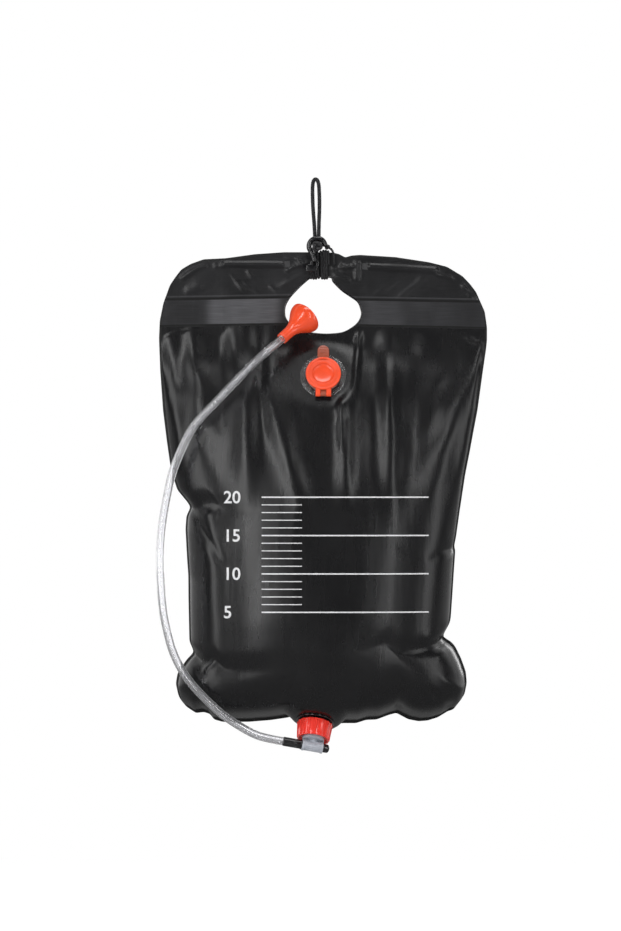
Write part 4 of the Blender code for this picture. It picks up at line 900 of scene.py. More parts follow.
def frames_along(points, closed=False):
    """Two unit vectors square to the path at each of its points, with the least twist."""
    tangents = np.gradient(points, axis=0)
    if closed:
        tangents = np.roll(points, -1, axis=0) - np.roll(points, 1, axis=0)
    tangents /= np.linalg.norm(tangents, axis=1)[:, None]
    first = np.cross(tangents[0], (0, 1, 0) if abs(tangents[0][1]) < 0.9 else (1, 0, 0))
    normals = [first / np.linalg.norm(first)]
    for t in tangents[1:]:
        n = normals[-1] - t * np.dot(normals[-1], t)
        normals.append(n / np.linalg.norm(n))
    normals = np.array(normals)
    return normals, np.cross(tangents, normals)


def tube(points, radius, sides=20, bore=0.0, closed=False, end_round=0.0):
    """Round tube along a path: solid, with a bore, closed into a ring, or with rounded ends."""
    points = np.array(points, float)
    radii = np.full(len(points), radius)
    if end_round:
        lead_in = np.linspace(0, 1, 7)[:-1]
        heads = []
        for tip, inner in ((points[0], points[1]), (points[-1], points[-2])):
            out = (tip - inner) / np.linalg.norm(tip - inner)
            heads.append([tip + out * end_round * math.cos(s * math.pi / 2) for s in lead_in])
        swell = [max(radius * math.sin(s * math.pi / 2), radius * 0.02) for s in lead_in]
        points = np.vstack([heads[0], points, heads[1][::-1]])
        radii = np.concatenate([swell, radii, swell[::-1]])
    across, up = frames_along(points, closed)
    turns = np.linspace(0, math.tau, sides, endpoint=False)
    bm = bmesh.new()

    def rings(scale):
        made = []
        for p, a, u, r in zip(points, across, up, radii):
            made.append([bm.verts.new(p + (a * math.cos(q) + u * math.sin(q)) * r * scale) for q in turns])
        return made

    outer = rings(1)
    join_rings(bm, outer, closed)
    if bore:
        inner = rings(bore / radius)
        join_rings(bm, inner, closed)
        for end in (0, -1):
            join_rings(bm, [outer[end], inner[end]])
    elif not closed:
        for end in (0, -1):
            bm.faces.new(outer[end])
    return tidied(bm)


def frame_matrix(place, x_axis, z_axis):
    z = Vector(z_axis).normalized()
    x = Vector(x_axis)
    x = (x - z * x.dot(z)).normalized()
    y = z.cross(x)
    turn = Matrix((x, y, z)).transposed().to_4x4()
    return Matrix.Translation(place) @ turn


OUTLET_AXIS = Vector((-math.sin(OUTLET_LEAN) * math.cos(OUTLET_FORWARD), -math.sin(OUTLET_FORWARD),
                      -math.cos(OUTLET_LEAN) * math.cos(OUTLET_FORWARD)))
BARREL_ACROSS = Vector((math.cos(BARREL_SLOPE), 0, -math.sin(BARREL_SLOPE)))
BARREL_AXIS = Vector((BARREL_ACROSS.x,
                      -(BARREL_ACROSS.x * OUTLET_AXIS.x + BARREL_ACROSS.z * OUTLET_AXIS.z) / OUTLET_AXIS.y,
                      BARREL_ACROSS.z)).normalized()
HEAD_AXIS = Vector((math.cos(HEAD_RISE) * math.cos(HEAD_BACK), math.sin(HEAD_BACK),
                    math.sin(HEAD_RISE) * math.cos(HEAD_BACK)))
BARREL_PLACE = OUTLET_PLACE + OUTLET_AXIS * BARREL_REACH
HEAD_PLACE = HEAD_RIM_PLACE - HEAD_AXIS * HEAD_LENGTH
FILLER = frame_matrix(FILLER_PLACE, (1, 0, 0), FILLER_NORMAL)
OUTLET = frame_matrix(OUTLET_PLACE, BARREL_AXIS, OUTLET_AXIS)
SPOOL = frame_matrix(BARREL_PLACE, OUTLET_AXIS, BARREL_AXIS)
HEAD = frame_matrix(HEAD_PLACE, (0, -1, 0), HEAD_AXIS)
UPRIGHT = Matrix.Rotation(math.pi / 2, 4, "X")


# Repeated shapes by geometry nodes

class Tree(Maker):
    """A geometry tree with named inputs, that ends in Realize Instances and Set Material."""

    def __init__(self, name, **inputs):
        super().__init__(bpy.data.node_groups.new(name, "GeometryNodeTree"))
        inputs = {"Geometry": "Geometry", **inputs, "Finish": "Material"}
        for label, kind in inputs.items():
            self.tree.interface.new_socket(label, in_out="INPUT", socket_type="NodeSocket" + kind)
        self.tree.interface.new_socket("Geometry", in_out="OUTPUT", socket_type="NodeSocketGeometry")
        entry = self.tree.nodes.new("NodeGroupInput")
        self.given = {label: Flow(self, entry.outputs[label]) for label in inputs}

    def scaled(self, vector, scale):
        return self.node("ShaderNodeVectorMath", {"operation": "SCALE"}, {0: vector, "Scale": scale})

    def upright_turn(self, angle):
        return self.node("ShaderNodeCombineXYZ", None, {"Z": angle})

    def swept(self, path, radius, sides):
        """Solid of a round section along a curve."""
        section = self.node("GeometryNodeCurvePrimitiveCircle", None, {"Resolution": sides, "Radius": radius})
        return self.node("GeometryNodeCurveToMesh", None,
                         {"Curve": path, "Profile Curve": section, "Fill Caps": True})

    def finish(self, geometry):
        plain = self.node("GeometryNodeRealizeInstances", None, {0: geometry})
        done = self.node("GeometryNodeSetMaterial", None,
                         {"Geometry": plain, "Material": self.given["Finish"]})
        end = self.tree.nodes.new("NodeGroupOutput")
        self.tree.links.new(done.socket, end.inputs[0])
        return self.tree


def ring_tree():
    """Copies of a shape round Z, each turned to face outwards."""
    tree = Tree("ring_of_shapes", Count="Int", Radius="Float", First_Turn="Float")
    given = tree.given
    circle = tree.node("GeometryNodeMeshCircle", None,
                       {"Vertices": given["Count"], "Radius": given["Radius"]})
    turn = tree.upright_turn(tree.node("GeometryNodeInputIndex") / given["Count"] * math.tau)
    placed = tree.node("GeometryNodeInstanceOnPoints", None,
                       {"Points": circle, "Instance": given["Geometry"], "Rotation": turn})
    first = tree.upright_turn(given["First_Turn"])
    return tree.finish(tree.node("GeometryNodeTransform", None, {"Geometry": placed, "Rotation": first}))


def row_tree():
    """Copies of a shape at even steps along a line."""
    tree = Tree("row_of_shapes", Count="Int", Step="Vector")
    given = tree.given
    line = tree.node("GeometryNodeMeshLine", None, {"Count": given["Count"], "Offset": given["Step"]})
    placed = tree.node("GeometryNodeInstanceOnPoints", None, {"Points": line, "Instance": given["Geometry"]})
    return tree.finish(placed)


def braid_tree():
    """Threads that run round a path both ways, over and under each other, on a plain core."""
    tree = Tree("braided_cord", Threads="Int", Radius="Float", Thread_Radius="Float", Turns="Float",
                Points="Int", Weave="Float")
    given = tree.given
    path = tree.node("GeometryNodeMeshToCurve", None, {0: given["Geometry"]})
    path = tree.node("GeometryNodeResampleCurve", None, {"Curve": path, "Count": given["Points"]})
    path = tree.node("GeometryNodeSetCurveNormal", {"mode": "MINIMUM_TWIST"}, {0: path})
    number = tree.node("GeometryNodeDuplicateElements", {"domain": "SPLINE"},
                       {"Geometry": path, "Amount": given["Threads"]}, "Duplicate Index")
    copies = Flow(tree, number.socket.node.outputs["Geometry"])
    way = number.sum_with("MODULO", number, 2.0) * 2.0 - 1.0
    pair = number.sum_with("FLOOR", number / 2.0)
    pairs = given["Threads"] / 2.0
    along = tree.node("GeometryNodeSplineParameter")
    turn = along * given["Turns"] * math.tau * way + pair / pairs * math.tau
    lift = turn.sum_with("COSINE", turn * pairs) * way
    reach = given["Radius"] + lift * given["Weave"]
    normal = tree.node("GeometryNodeInputNormal")
    side = tree.node("ShaderNodeVectorMath", {"operation": "CROSS_PRODUCT"},
                     {0: tree.node("GeometryNodeInputTangent"), 1: normal})
    spread = tree.node("ShaderNodeVectorMath", {"operation": "ADD"},
                       {0: tree.scaled(normal, turn.sum_with("COSINE", turn)),
                        1: tree.scaled(side, turn.sum_with("SINE", turn))})
    moved = tree.node("GeometryNodeSetPosition", None,
                      {"Geometry": copies, "Offset": tree.scaled(spread, reach)})
    threads = tree.swept(moved, given["Thread_Radius"], 6)
    core = tree.swept(path, given["Radius"], 14)
    both = tree.node("GeometryNodeJoinGeometry", None, {0: threads})
    tree.tree.links.new(core.socket, both.socket.node.inputs[0])
    return tree.finish(both)


RING = ring_tree()
ROW = row_tree()
BRAID = braid_tree()


def grown(data, group, finish, **inputs):
    """Plain mesh of a shape that a geometry tree has repeated or followed."""
    holder = holder_of(data)
    step = holder.modifiers.new("grow", "NODES")
    step.node_group = group
    inputs["Finish"] = FINISHES[finish]
    for item in group.interface.items_tree:
        if item.in_out == "INPUT" and item.name in inputs:
            step[item.identifier] = inputs[item.name]
    return baked(holder)


def polyline(points):
    """Mesh of a path's points and edges."""
    mesh = bpy.data.meshes.new("path")
    mesh.from_pydata([tuple(p) for p in points], [(i, i + 1) for i in range(len(points) - 1)], [])
    return mesh


def braided(points, diameter, threads):
    """Braided cord along a path."""
    length = route_length(points)
    pitch = diameter * 3.2
    turns = length / pitch
    inputs = {"Threads": threads, "Radius": diameter * 0.36, "Thread_Radius": diameter * 0.13,
              "Turns": turns, "Points": int(turns * 20), "Weave": diameter * 0.035}
    return grown(polyline(points), BRAID, "black_cord", **inputs)


# Camera, light and ground

def add_camera():
    centre_x, centre_z = spot(PHOTO_PX[0] / 2, PHOTO_PX[1] / 2)
    view_height = PHOTO_PX[1] * PIXEL
    data = bpy.data.cameras.new("camera")
    data.sensor_fit = "VERTICAL"
    data.sensor_height = SENSOR
    data.lens = SENSOR * CAMERA_DISTANCE / view_height
    data.clip_end = 100
    camera = new_object("camera", data)
    camera.location = (centre_x, -CAMERA_DISTANCE, centre_z)
    camera.rotation_euler = (math.pi / 2, 0, 0)
    bpy.context.scene.camera = camera


def add_softbox(name, place, size, brightness):
    """Large soft light of a given brightness, aimed at the bag."""
    data = bpy.data.lights.new(name, "AREA")
    data.shape = "RECTANGLE"
    data.size, data.size_y = size
    data.energy = brightness * math.pi * size[0] * size[1]
    lamp = new_object(name, data)
    lamp.location = place
    lamp.rotation_euler = (LAMP_TARGET - Vector(place)).to_track_quat("-Z", "Y").to_euler()


def ray_masks(maker):
    """1 for rays that look straight or through clear plastic, and 1 for mirrored ones."""
    rays = maker.tree.nodes.new("ShaderNodeLightPath")
    straight, through, gloss = (Flow(maker, rays.outputs[f"Is {kind} Ray"])
                                for kind in ("Camera", "Transmission", "Glossy"))
    return straight.most(through), gloss


def add_surroundings():
    """White behind the object for the camera, gloss and clear plastic; soft grey light elsewhere."""
    world = bpy.data.worlds.new("studio")
    world.use_nodes = True
    bpy.context.scene.world = world
    maker = Maker(world.node_tree)
    seen, gloss = ray_masks(maker)
    direction = maker.node("ShaderNodeTexCoord", output="Generated")
    behind = maker.axis(direction, "Y").ease(-0.1, 0.35)
    mirrored = gloss * (FRONT_GLOSS + behind * (1 - FRONT_GLOSS))
    strength = seen + (1 - seen) * (mirrored + (1 - gloss) * AMBIENT)
    backdrop = world.node_tree.nodes["Background"]
    backdrop.inputs["Color"].default_value = (1, 1, 1, 1)
    world.node_tree.links.new(strength.socket, backdrop.inputs["Strength"])


def add_ground():
    """Pale floor that a camera sees as white, apart from the shadow on it, and that is dim in reflections."""
    finish = Finish("ground", Roughness=0.9)
    place = finish.place()
    finish.feed(Base_Color=finish.blend(finish.noise(place, 3.0), (0.80, 0.80, 0.80), (0.84, 0.84, 0.84)))
    seen, gloss = ray_masks(finish)
    away = finish.node("ShaderNodeVectorMath", {"operation": "LENGTH"}, {0: place}, 1)
    away = away.ease(*GROUND_SHADOW_REACH)

    def glow(strength):
        return finish.node("ShaderNodeEmission", None, {"Color": (1, 1, 1, 1), "Strength": strength})

    def mixed(share, first, second):
        return finish.node("ShaderNodeMixShader", None, {0: share, 1: first, 2: second})

    plain = Flow(finish, finish.shader.outputs[0])
    lit = finish.node("ShaderNodeAddShader", None, {0: plain, 1: glow(seen * (1 - GROUND_LIT))})
    surface = mixed(gloss, mixed(away * seen, lit, glow(seen)), glow(GROUND_GLOSS))
    finish.tree.links.new(surface.socket, finish.tree.nodes["Material Output"].inputs["Surface"])
    bm = bmesh.new()
    bmesh.ops.create_circle(bm, cap_ends=True, segments=64, radius=GROUND_SIZE)
    mesh = mesh_of(bm)
    mesh.materials.append(finish.material)
    ground = new_object("ground", mesh)
    ground.location = (0, 0, GROUND_Z)


add_camera()
add_surroundings()
for lamp in LAMPS:
    add_softbox(*lamp)
add_ground()
bpy.context.scene.view_settings.view_transform = "Standard"


# Cords

def hang_loop_path():
    """From the loop's knot up one strand, over the top and down the other."""
    crown = Vector((0, 0, LOOP_CORD / 2))
    strands = []
    for side in (-1, 1):
        strand = []
        for across, back, up in LOOP_STRAND_ROUTE:
            middle = HOOK_PLACE.lerp(crown, up / (crown.z - HOOK_PLACE.z))
            strand.append((middle.x + side * across, middle.y + back, HOOK_PLACE.z + up))
        strands.append(strand)
    return evenly(spline([*strands[0], tuple(crown), *reversed(strands[1])]), 160)


def hose_path():
    """From the grip's face along the route to the head's stem."""
    start = BARREL_PLACE - BARREL_AXIS * (BARREL_HALF_LENGTH + GRIP_LENGTH + SMALL_GAP * 2)
    end = HEAD_PLACE - HEAD_AXIS * SMALL_GAP
    lead = HOSE_DIAMETER / 2
    route = [start, start - BARREL_AXIS * lead, *HOSE_ROUTE, end - HEAD_AXIS * lead, end]
    return evenly(spline([tuple(p) for p in route]), 260)


def lashing_path():
    """Cord round the hem through the handle hole, in two bundles of wraps."""
    points = []
    for k in range((LASH_TURNS * 2 + 1) * 48 + 1):
        turns = k / 48
        first = min(turns, LASH_TURNS) * LASH_PITCH
        crossing = min(max(turns - LASH_TURNS, 0), 1) * LASH_CROSSING
        second = max(turns - LASH_TURNS - 1, 0) * LASH_PITCH
        angle = math.tau * turns
        y = -math.copysign(abs(math.cos(angle)) ** LASH_FULLNESS, math.cos(angle)) * LASH_HALF_DEPTH
        x = LASH_START_X + first + crossing + second
        aside = min(abs(x - middle) for middle in LASH_BUNDLES_X) / LASH_BUNDLE_HALF
        half = LASH_HALF_HEIGHT - LASH_BULGE * min(aside * aside, 1.5)
        z = LASH_MIDDLE_Z - math.copysign(abs(math.sin(angle)) ** LASH_FULLNESS, math.sin(angle)) * half
        points.append((x, y, z))
    return evenly(np.array(points), 420)


def knot_mesh(cord, reach, swing, squash=(1, 1, 1)):
    """Trefoil knot of cord about the origin."""
    turns = np.linspace(0, math.tau, 150, endpoint=False)
    ring = reach + swing * np.cos(3 * turns)
    points = np.stack([ring * np.cos(2 * turns) * squash[0], swing * np.sin(3 * turns) * squash[1],
                       ring * np.sin(2 * turns) * squash[2]], axis=1)
    return tube(points, cord * KNOT_CORD_SHARE / 2, 14, closed=True)


def add_cords():
    loop = hang_loop_path()
    loop_knot = knot_mesh(LOOP_CORD, LOOP_KNOT_REACH, LOOP_KNOT_SWING, LOOP_KNOT_SQUASH)
    knot = add_piece("hang_loop_knot", loop_knot, "black_cord", "hanger", replaces=("loop_knot",),
                     matrix=Matrix.Translation(LOOP_KNOT_PLACE))
    rope = add_piece("hang_loop_cord", braided(loop, LOOP_CORD * 1.08, 12), "black_cord", "hanger",
                     replaces=("hang_loop",))

    lashing = lashing_path()
    add_piece("lashing_cord", braided(lashing, LASH_CORD, 8), "black_cord", "bag", replaces=("hem_lashing",))
    lashing_knot = knot_mesh(LASH_CORD, CORD_KNOT_REACH, CORD_KNOT_SWING)
    add_piece("lashing_knot", lashing_knot, "black_cord", "bag", replaces=("cord_knot",),
              matrix=Matrix.Translation(CORD_KNOT_PLACE))
    tail = evenly(spline([tuple(CORD_KNOT_PLACE + Vector(p)) for p in TAIL_ROUTE]), 40)
    tip = tube(tail[-3:], LASH_CORD * 0.46, 14, end_round=LASH_CORD * 0.4)
    add_piece("lashing_tail", together(braided(tail, LASH_CORD, 8), tip), "black_cord", "bag",
              replaces=("knot_tail",))


def add_hose(with_pieces):
    path = hose_path()
    mesh = tube(path, HOSE_DIAMETER / 2, 36, HOSE_BORE / 2)
    hose = add_piece("hose_tube", mesh, "clear_hose", "spool", replaces=("hose",))


# Films

def ease_out(distance, inner, width):
    """1 within the inner distance, falling smoothly to 0 over the width."""
    t = np.clip((distance - inner) / width, 0, 1)
    return 1 - t * t * (3 - 2 * t)


def spread_out(values, amount, axis):
    """Values averaged with their neighbours along an axis, with a bell-shaped weight."""
    reach = int(amount * 3)
    weights = np.exp(-0.5 * (np.arange(-reach, reach + 1) / amount) ** 2)
    weights /= weights.sum()
    padding = [(0, 0), (0, 0)]
    padding[axis] = (reach, reach)
    padded = np.pad(values, padding, mode="edge")
    result = np.zeros_like(values)
    for k, weight in enumerate(weights):
        window = [slice(None), slice(None)]
        window[axis] = slice(k, k + values.shape[axis])
        result += weight * padded[tuple(window)]
    return result


def edge_line(points_px, count, by):
    """An outline edge as even shares: X and Z at even steps of the height or of the width."""
    places = np.array([spot(*p) for p in points_px])
    key = places[:, 1] * -1 if by == "height" else places[:, 0]
    goal = np.linspace(key[0], key[-1], count)
    line = np.stack([np.interp(goal, key, places[:, k]) for k in (0, 1)], axis=1)
    soft = spread_out(line, count * 0.0035, 0)
    soft[0], soft[-1] = line[0], line[-1]
    return soft


def cloth_place(i, j, columns, rows):
    """A grid point of the flat cut, its two lower corners rounded."""
    x = (i / columns * 2 - 1) * CLOTH_WIDTH / 2
    z = -j / rows * CLOTH_LENGTH
    from_foot = CLOTH_LENGTH + z
    inner = CLOTH_WIDTH / 2 - CLOTH_CORNER
    if from_foot < CLOTH_CORNER and abs(x) > inner:
        dx = (abs(x) - inner) / CLOTH_CORNER
        dz = (CLOTH_CORNER - from_foot) / CLOTH_CORNER
        x = math.copysign(inner + dx * math.sqrt(1 - dz * dz / 2) * CLOTH_CORNER, x)
        z = -(CLOTH_LENGTH - CLOTH_CORNER + dz * math.sqrt(1 - dx * dx / 2) * CLOTH_CORNER)
    return x, z


def cloth_mesh():
    """Flat bag of two sheets welded at their rims, its grids of point numbers, and its pinned points."""
    columns = round(CLOTH_WIDTH / CLOTH_STEP)
    rows = round(CLOTH_LENGTH / CLOTH_STEP)
    bm = bmesh.new()
    front, back = {}, {}
    for j in range(rows + 1):
        for i in range(columns + 1):
            x, z = cloth_place(i, j, columns, rows)
            under_hole = np.hypot(x / CLOTH_TOP_WELD[0], z / CLOTH_TOP_WELD[1]) < 1
            welded = i in (0, columns) or j in (0, rows) or under_hole
            spread = 0 if welded else CLOTH_GAP
            front[i, j] = bm.verts.new((BAG_CENTRE_X + x, -spread, CLOTH_TOP + z))
            back[i, j] = front[i, j] if welded else bm.verts.new((BAG_CENTRE_X + x, spread, CLOTH_TOP + z))
    for j in range(rows):
        for i in range(columns):
            corners = ((i, j), (i, j + 1), (i + 1, j + 1), (i + 1, j))
            near = [front[c] for c in corners]
            far = [back[c] for c in corners]
            if near != far:
                bm.faces.new(near)
                bm.faces.new(far[::-1])
    bm.verts.index_update()
    pinned = {front[i, 0].index for i in range(columns + 1)}
    pinned |= {front[i, j].index for i, j in front
               if front[i, j] == back[i, j] and 0 < j < rows and 0 < i < columns}
    numbers = [np.array([[grid[i, j].index for i in range(columns + 1)] for j in range(rows + 1)])
               for grid in (front, back)]
    return mesh_of(bm), numbers, pinned


def filled_cloth():
    """Depths of the front and back of a bag of this cut after water has filled it, as two grids."""
    mesh, (front, back), pinned = cloth_mesh()
    holder = holder_of(mesh)
    holder.vertex_groups.new(name="pinned").add(sorted(pinned), 1.0, "REPLACE")
    wet = holder.vertex_groups.new(name="wet")
    for vertex in mesh.vertices:
        wet.add([vertex.index], min(max((WATER_LEVEL - vertex.co.z) / WATER_EASE, 0), 1), "REPLACE")
    step = holder.modifiers.new("cloth", "CLOTH")
    cloth = step.settings
    for label, value in CLOTH_STIFFNESS.items():
        setattr(cloth, label, value)
    cloth.vertex_group_mass = "pinned"
    cloth.use_pressure = True
    cloth.use_pressure_volume = True
    cloth.target_volume = WATER_VOLUME
    cloth.fluid_density = WATER_PUSH
    cloth.uniform_pressure_force = WATER_PUSH * GRAVITY * WATER_REACH
    cloth.pressure_factor = 1
    cloth.vertex_group_pressure = "wet"
    step.collision_settings.use_collision = False
    step.point_cache.frame_end = CLOTH_FRAMES
    for moment in range(1, CLOTH_FRAMES + 1):
        bpy.context.scene.frame_set(moment)
    result = baked(holder)
    places = np.empty(len(result.vertices) * 3)
    result.vertices.foreach_get("co", places)
    bpy.context.scene.frame_set(1)
    depths = places.reshape(-1, 3)[:, 1]
    return -depths[front], depths[back]


def wrinkles_of(depths):
    """The small relief of a simulated film: puckers along its sides and folds under its top weld."""
    down = depths - spread_out(depths, WRINKLE_SPREAD, 0)
    across = depths - spread_out(depths, WRINKLE_SPREAD, 1)
    rows, columns = depths.shape
    side = np.abs(np.linspace(-1, 1, columns))[None, :]
    share = np.linspace(0, 1, rows)[:, None]
    near_side = 1 - ease_out(side, 0.45, 0.3)
    near_top = ease_out(share, 0.25, 0.45) * ease_out(side, 0.72, 0.2)
    calm = 1 - 0.90 * (1 - ease_out(share, 0.30, 0.25))
    relief = down * near_side * calm + across * near_top
    for axis in (0, 1):
        relief = spread_out(relief, WRINKLE_SOFTNESS, axis)
    return np.clip(relief * WRINKLE_SHARE, -WRINKLE_MOST, WRINKLE_MOST)


def sampled(grid, across, down):
    """Values of a grid at shares across and down it."""
    rows, columns = grid.shape
    a = np.clip(across, 0, 1) * (columns - 1)
    d = np.clip(down, 0, 1) * (rows - 1)
    i = np.minimum(a.astype(int), columns - 2)
    j = np.minimum(d.astype(int), rows - 2)
    s, t = a - i, d - j
    return (grid[j, i] * (1 - s) * (1 - t) + grid[j, i + 1] * s * (1 - t)
            + grid[j + 1, i] * (1 - s) * t + grid[j + 1, i + 1] * s * t)


def ridge(px, py, start, end, width, height, tail=0.26):
    """Height of a fold along a line, fading at its ends."""
    start, end = np.array(start, float), np.array(end, float)
    way = end - start
    length = np.hypot(*way)
    way /= length
    along = (px - start[0]) * way[0] + (py - start[1]) * way[1]
    aside = (px - start[0]) * -way[1] + (py - start[1]) * way[0]
    fade = max(length * tail, width * 0.8)
    ends = ease_out(np.abs(along - length / 2), length / 2 - fade, fade * 2)
    return height * MILLI * np.exp(-0.5 * (aside / width) ** 2) * ends


def plateau(px, py, start, end, half_width):
    """1 along the middle of a straight strip, falling smoothly to its sides."""
    start, end = np.array(start, float), np.array(end, float)
    way = end - start
    length = np.hypot(*way)
    way /= length
    along = np.abs((px - start[0]) * way[0] + (py - start[1]) * way[1] - length / 2)
    aside = np.abs((px - start[0]) * -way[1] + (py - start[1]) * way[0])
    return ease_out(along, length / 2, 2.0) * ease_out(aside, 0.3, half_width + 0.6)


def level_line(points_px, px):
    table = np.array(points_px, float)
    return np.interp(px, table[:, 0], table[:, 1])


def hole_reach(x, z):
    """How far a point lies outside the handle hole's ellipse, in metres."""
    up = z - (BAG_TOP - HOLE_TOP_DROP - HOLE_HEIGHT * HOLE_MIDDLE_SHARE)
    half_height = HOLE_HEIGHT * HOLE_HALF_SHARE
    return (np.hypot((x - HOLE_CENTRE_X) / HOLE_HALF_WIDTH, up / half_height) - 1) * half_height


def film_grid():
    """Shares across and down the film where its columns and rows lie, closer along the rims."""
    steps = RIM_SHARE * np.array([0, 0.5, 1, 1.2, 1.6, 2.2, 3.0, 4.0])
    half = np.concatenate([steps, np.linspace(RIM_SHARE * 5.2, 1, 88)])
    across = np.concatenate([half, 2 - half[-2::-1]]) / 2
    flap = np.linspace(0, WELD_SHARE + 0.01, 66)
    body = np.linspace(WELD_SHARE + 0.016, 0.975, 140)
    foot = 1 - (1 - 0.975) * np.array([0.82, 0.66, 0.52, 0.42, 0.34, 0.27, 0.2, 0.1, 0])
    return across, np.concatenate([flap, body, foot])


def outline_patch(across, down):
    """X and Z of the flat outline at shares across and down, stretched between its four edges."""
    count = 800
    left = edge_line(LEFT_EDGE_PX, count, "height")
    right = edge_line(RIGHT_EDGE_PX, count, "height")
    top = edge_line(TOP_EDGE_PX, count, "width")
    foot = edge_line(FOOT_EDGE_PX, count, "width")
    even = np.linspace(0, 1, count)
    result = []
    for k in (0, 1):
        side_left = np.interp(down, even, left[:, k])[:, None]
        side_right = np.interp(down, even, right[:, k])[:, None]
        end_top = np.interp(across, even, top[:, k])[None, :]
        end_foot = np.interp(across, even, foot[:, k])[None, :]
        u, v = across[None, :], down[:, None]
        corners = ((1 - v) * ((1 - u) * left[0, k] + u * right[0, k])
                   + v * ((1 - u) * left[-1, k] + u * right[-1, k]))
        result.append((1 - v) * end_top + v * end_foot + (1 - u) * side_left + u * side_right - corners)
    return result


def film_depth(x, z, u, v):
    """How far the filled film stands out of the bag's plane, by its places and its shares."""
    table = spline(DEPTH_SHARES)
    foot_rim = RIM_SHARE * 0.35
    full_down = np.interp(v / (1 - foot_rim), table[:, 0], table[:, 1], left=0, right=0)
    full_down = np.where(v < WELD_SHARE, 0, np.maximum(full_down, 0))
    reach = np.clip(np.abs(u * 2 - 1) / (1 - RIM_SHARE), 0, 1)
    full_across = (1 - reach ** SIDE_POWER) ** DEPTH_POWER
    depth = full_down * full_across * BAG_DEPTH
    return depth * (1 - ease_out(hole_reach(x, z), HOLE_WELD, HOLE_WELD_FADE))


def film_relief(side, folds, wrinkles, places_px, shares, calm):
    """Height of folds, wrinkles, pressed band and battens over the smooth film."""
    px, py = places_px
    u, v = shares
    relief = np.zeros_like(px)
    for start, end, width, height in folds:
        relief += ridge(px, py, start, end, width, height)
    if wrinkles is not None:
        relief += sampled(wrinkles, u, (v - WELD_SHARE) / (1 - WELD_SHARE)) * (v > WELD_SHARE)
    flap = ease_out(v, WELD_SHARE - 0.012, 0.01)
    creases = np.zeros_like(px)
    for start, end, width, height in FLAP_CREASES_PX:
        creases += ridge(px if side < 0 else px + 3, py, start, end, width, height * 0.9, 0.2)
    soft = 0.0005 * np.sin(px * 0.11 + 1.3) * np.sin(py * 0.13 + px * 0.03)
    relief = relief * (1 - flap) + flap * (creases + soft)
    band_middle = (level_line(BAND_TOP_PX, px) + level_line(BAND_FOOT_PX, px)) / 2
    band_half = (BAND_FOOT_PX[0][1] - BAND_TOP_PX[0][1]) / 2
    relief -= ease_out(np.abs(py - band_middle), band_half - 0.6, 1.2) * BAND_PRESSED
    relief *= calm
    battens = np.zeros_like(px)
    for start, end, half_width in BATTEN_RELIEFS_PX:
        battens = np.maximum(battens, plateau(px, py, start, end, half_width))
    return relief * (1 - battens * 0.6) + battens * BATTEN_RELIEF


def outward(points, side):
    """Unit vectors square to a grid of points, on the film's outer side."""
    along_row = np.gradient(points, axis=1)
    along_column = np.gradient(points, axis=0)
    normals = np.cross(along_column, along_row)
    normals /= np.maximum(np.linalg.norm(normals, axis=2), 1e-12)[..., None]
    flip = np.sign(normals[..., 1:2]) * side
    return np.where(flip == 0, normals, normals * flip)


def film_surface(side, folds, wrinkles):
    """Outer face of one film as a grid of points: side is -1 in front and 1 at the back."""
    across, down = film_grid()
    x, z = outline_patch(across, down)
    u = np.broadcast_to(across[None, :], x.shape)
    v = np.broadcast_to(down[:, None], x.shape)
    places_px = pixels(x, z)
    y = side * (RIM_OUT + film_depth(x, z, u, v))

    # Flat patches under the two flanges
    from_filler = np.hypot(x - FILLER_PLACE.x, z - FILLER_PLACE.z)
    under_flange = np.zeros_like(y)
    if side < 0:
        near_filler = ease_out(from_filler, FLAT_PATCH_RADIUS, FLAT_PATCH_FADE)
        flat = FILLER_PLACE.y - FILLER_NORMAL.z * (z - FILLER_PLACE.z) / FILLER_NORMAL.y
        y = y * (1 - near_filler) + flat * near_filler
        under_flange = near_filler * ease_out(from_filler, FLANGE_RADIUS + 0.002, 0.012)
    away = np.hypot(x - OUTLET_PLACE.x, y - OUTLET_PLACE.y)
    near_outlet = ease_out(away, OUTLET_PATCH_RADIUS, OUTLET_PATCH_FADE) * (v > OUTLET_FROM_SHARE)
    flat = OUTLET_PLACE.z - (OUTLET_AXIS.x * (x - OUTLET_PLACE.x)
                             + OUTLET_AXIS.y * (np.minimum(y, 0) - OUTLET_PLACE.y)) / OUTLET_AXIS.z
    z = z * (1 - near_outlet) + flat * near_outlet

    # Relief along the surface's own normal, and straight out of the bag's plane near the rims
    rims = np.minimum(np.minimum(u, 1 - u) * 2, np.minimum(v * 2.5, (1 - v) * 2.5))
    at_rim = ease_out(rims, RIM_SHARE * 1.0, RIM_SHARE * 2.5)
    hole_near = ease_out(hole_reach(x, z), 0.002, 0.012)
    calm = (1 - under_flange) * (1 - near_outlet) * (1 - hole_near) * (1 - at_rim)
    relief = film_relief(side, folds, wrinkles, places_px, (u, v), calm)
    points = np.stack([x, y, z], axis=2)
    mix = at_rim[..., None]
    normals = outward(points, side) * (1 - mix) + np.array([0.0, side, 0.0]) * mix
    points += normals * relief[..., None]
    keep = RIM_OUT * 0.98
    points[..., 1] = np.minimum(points[..., 1], -keep) if side < 0 else np.maximum(points[..., 1], keep)
    return points, across, down


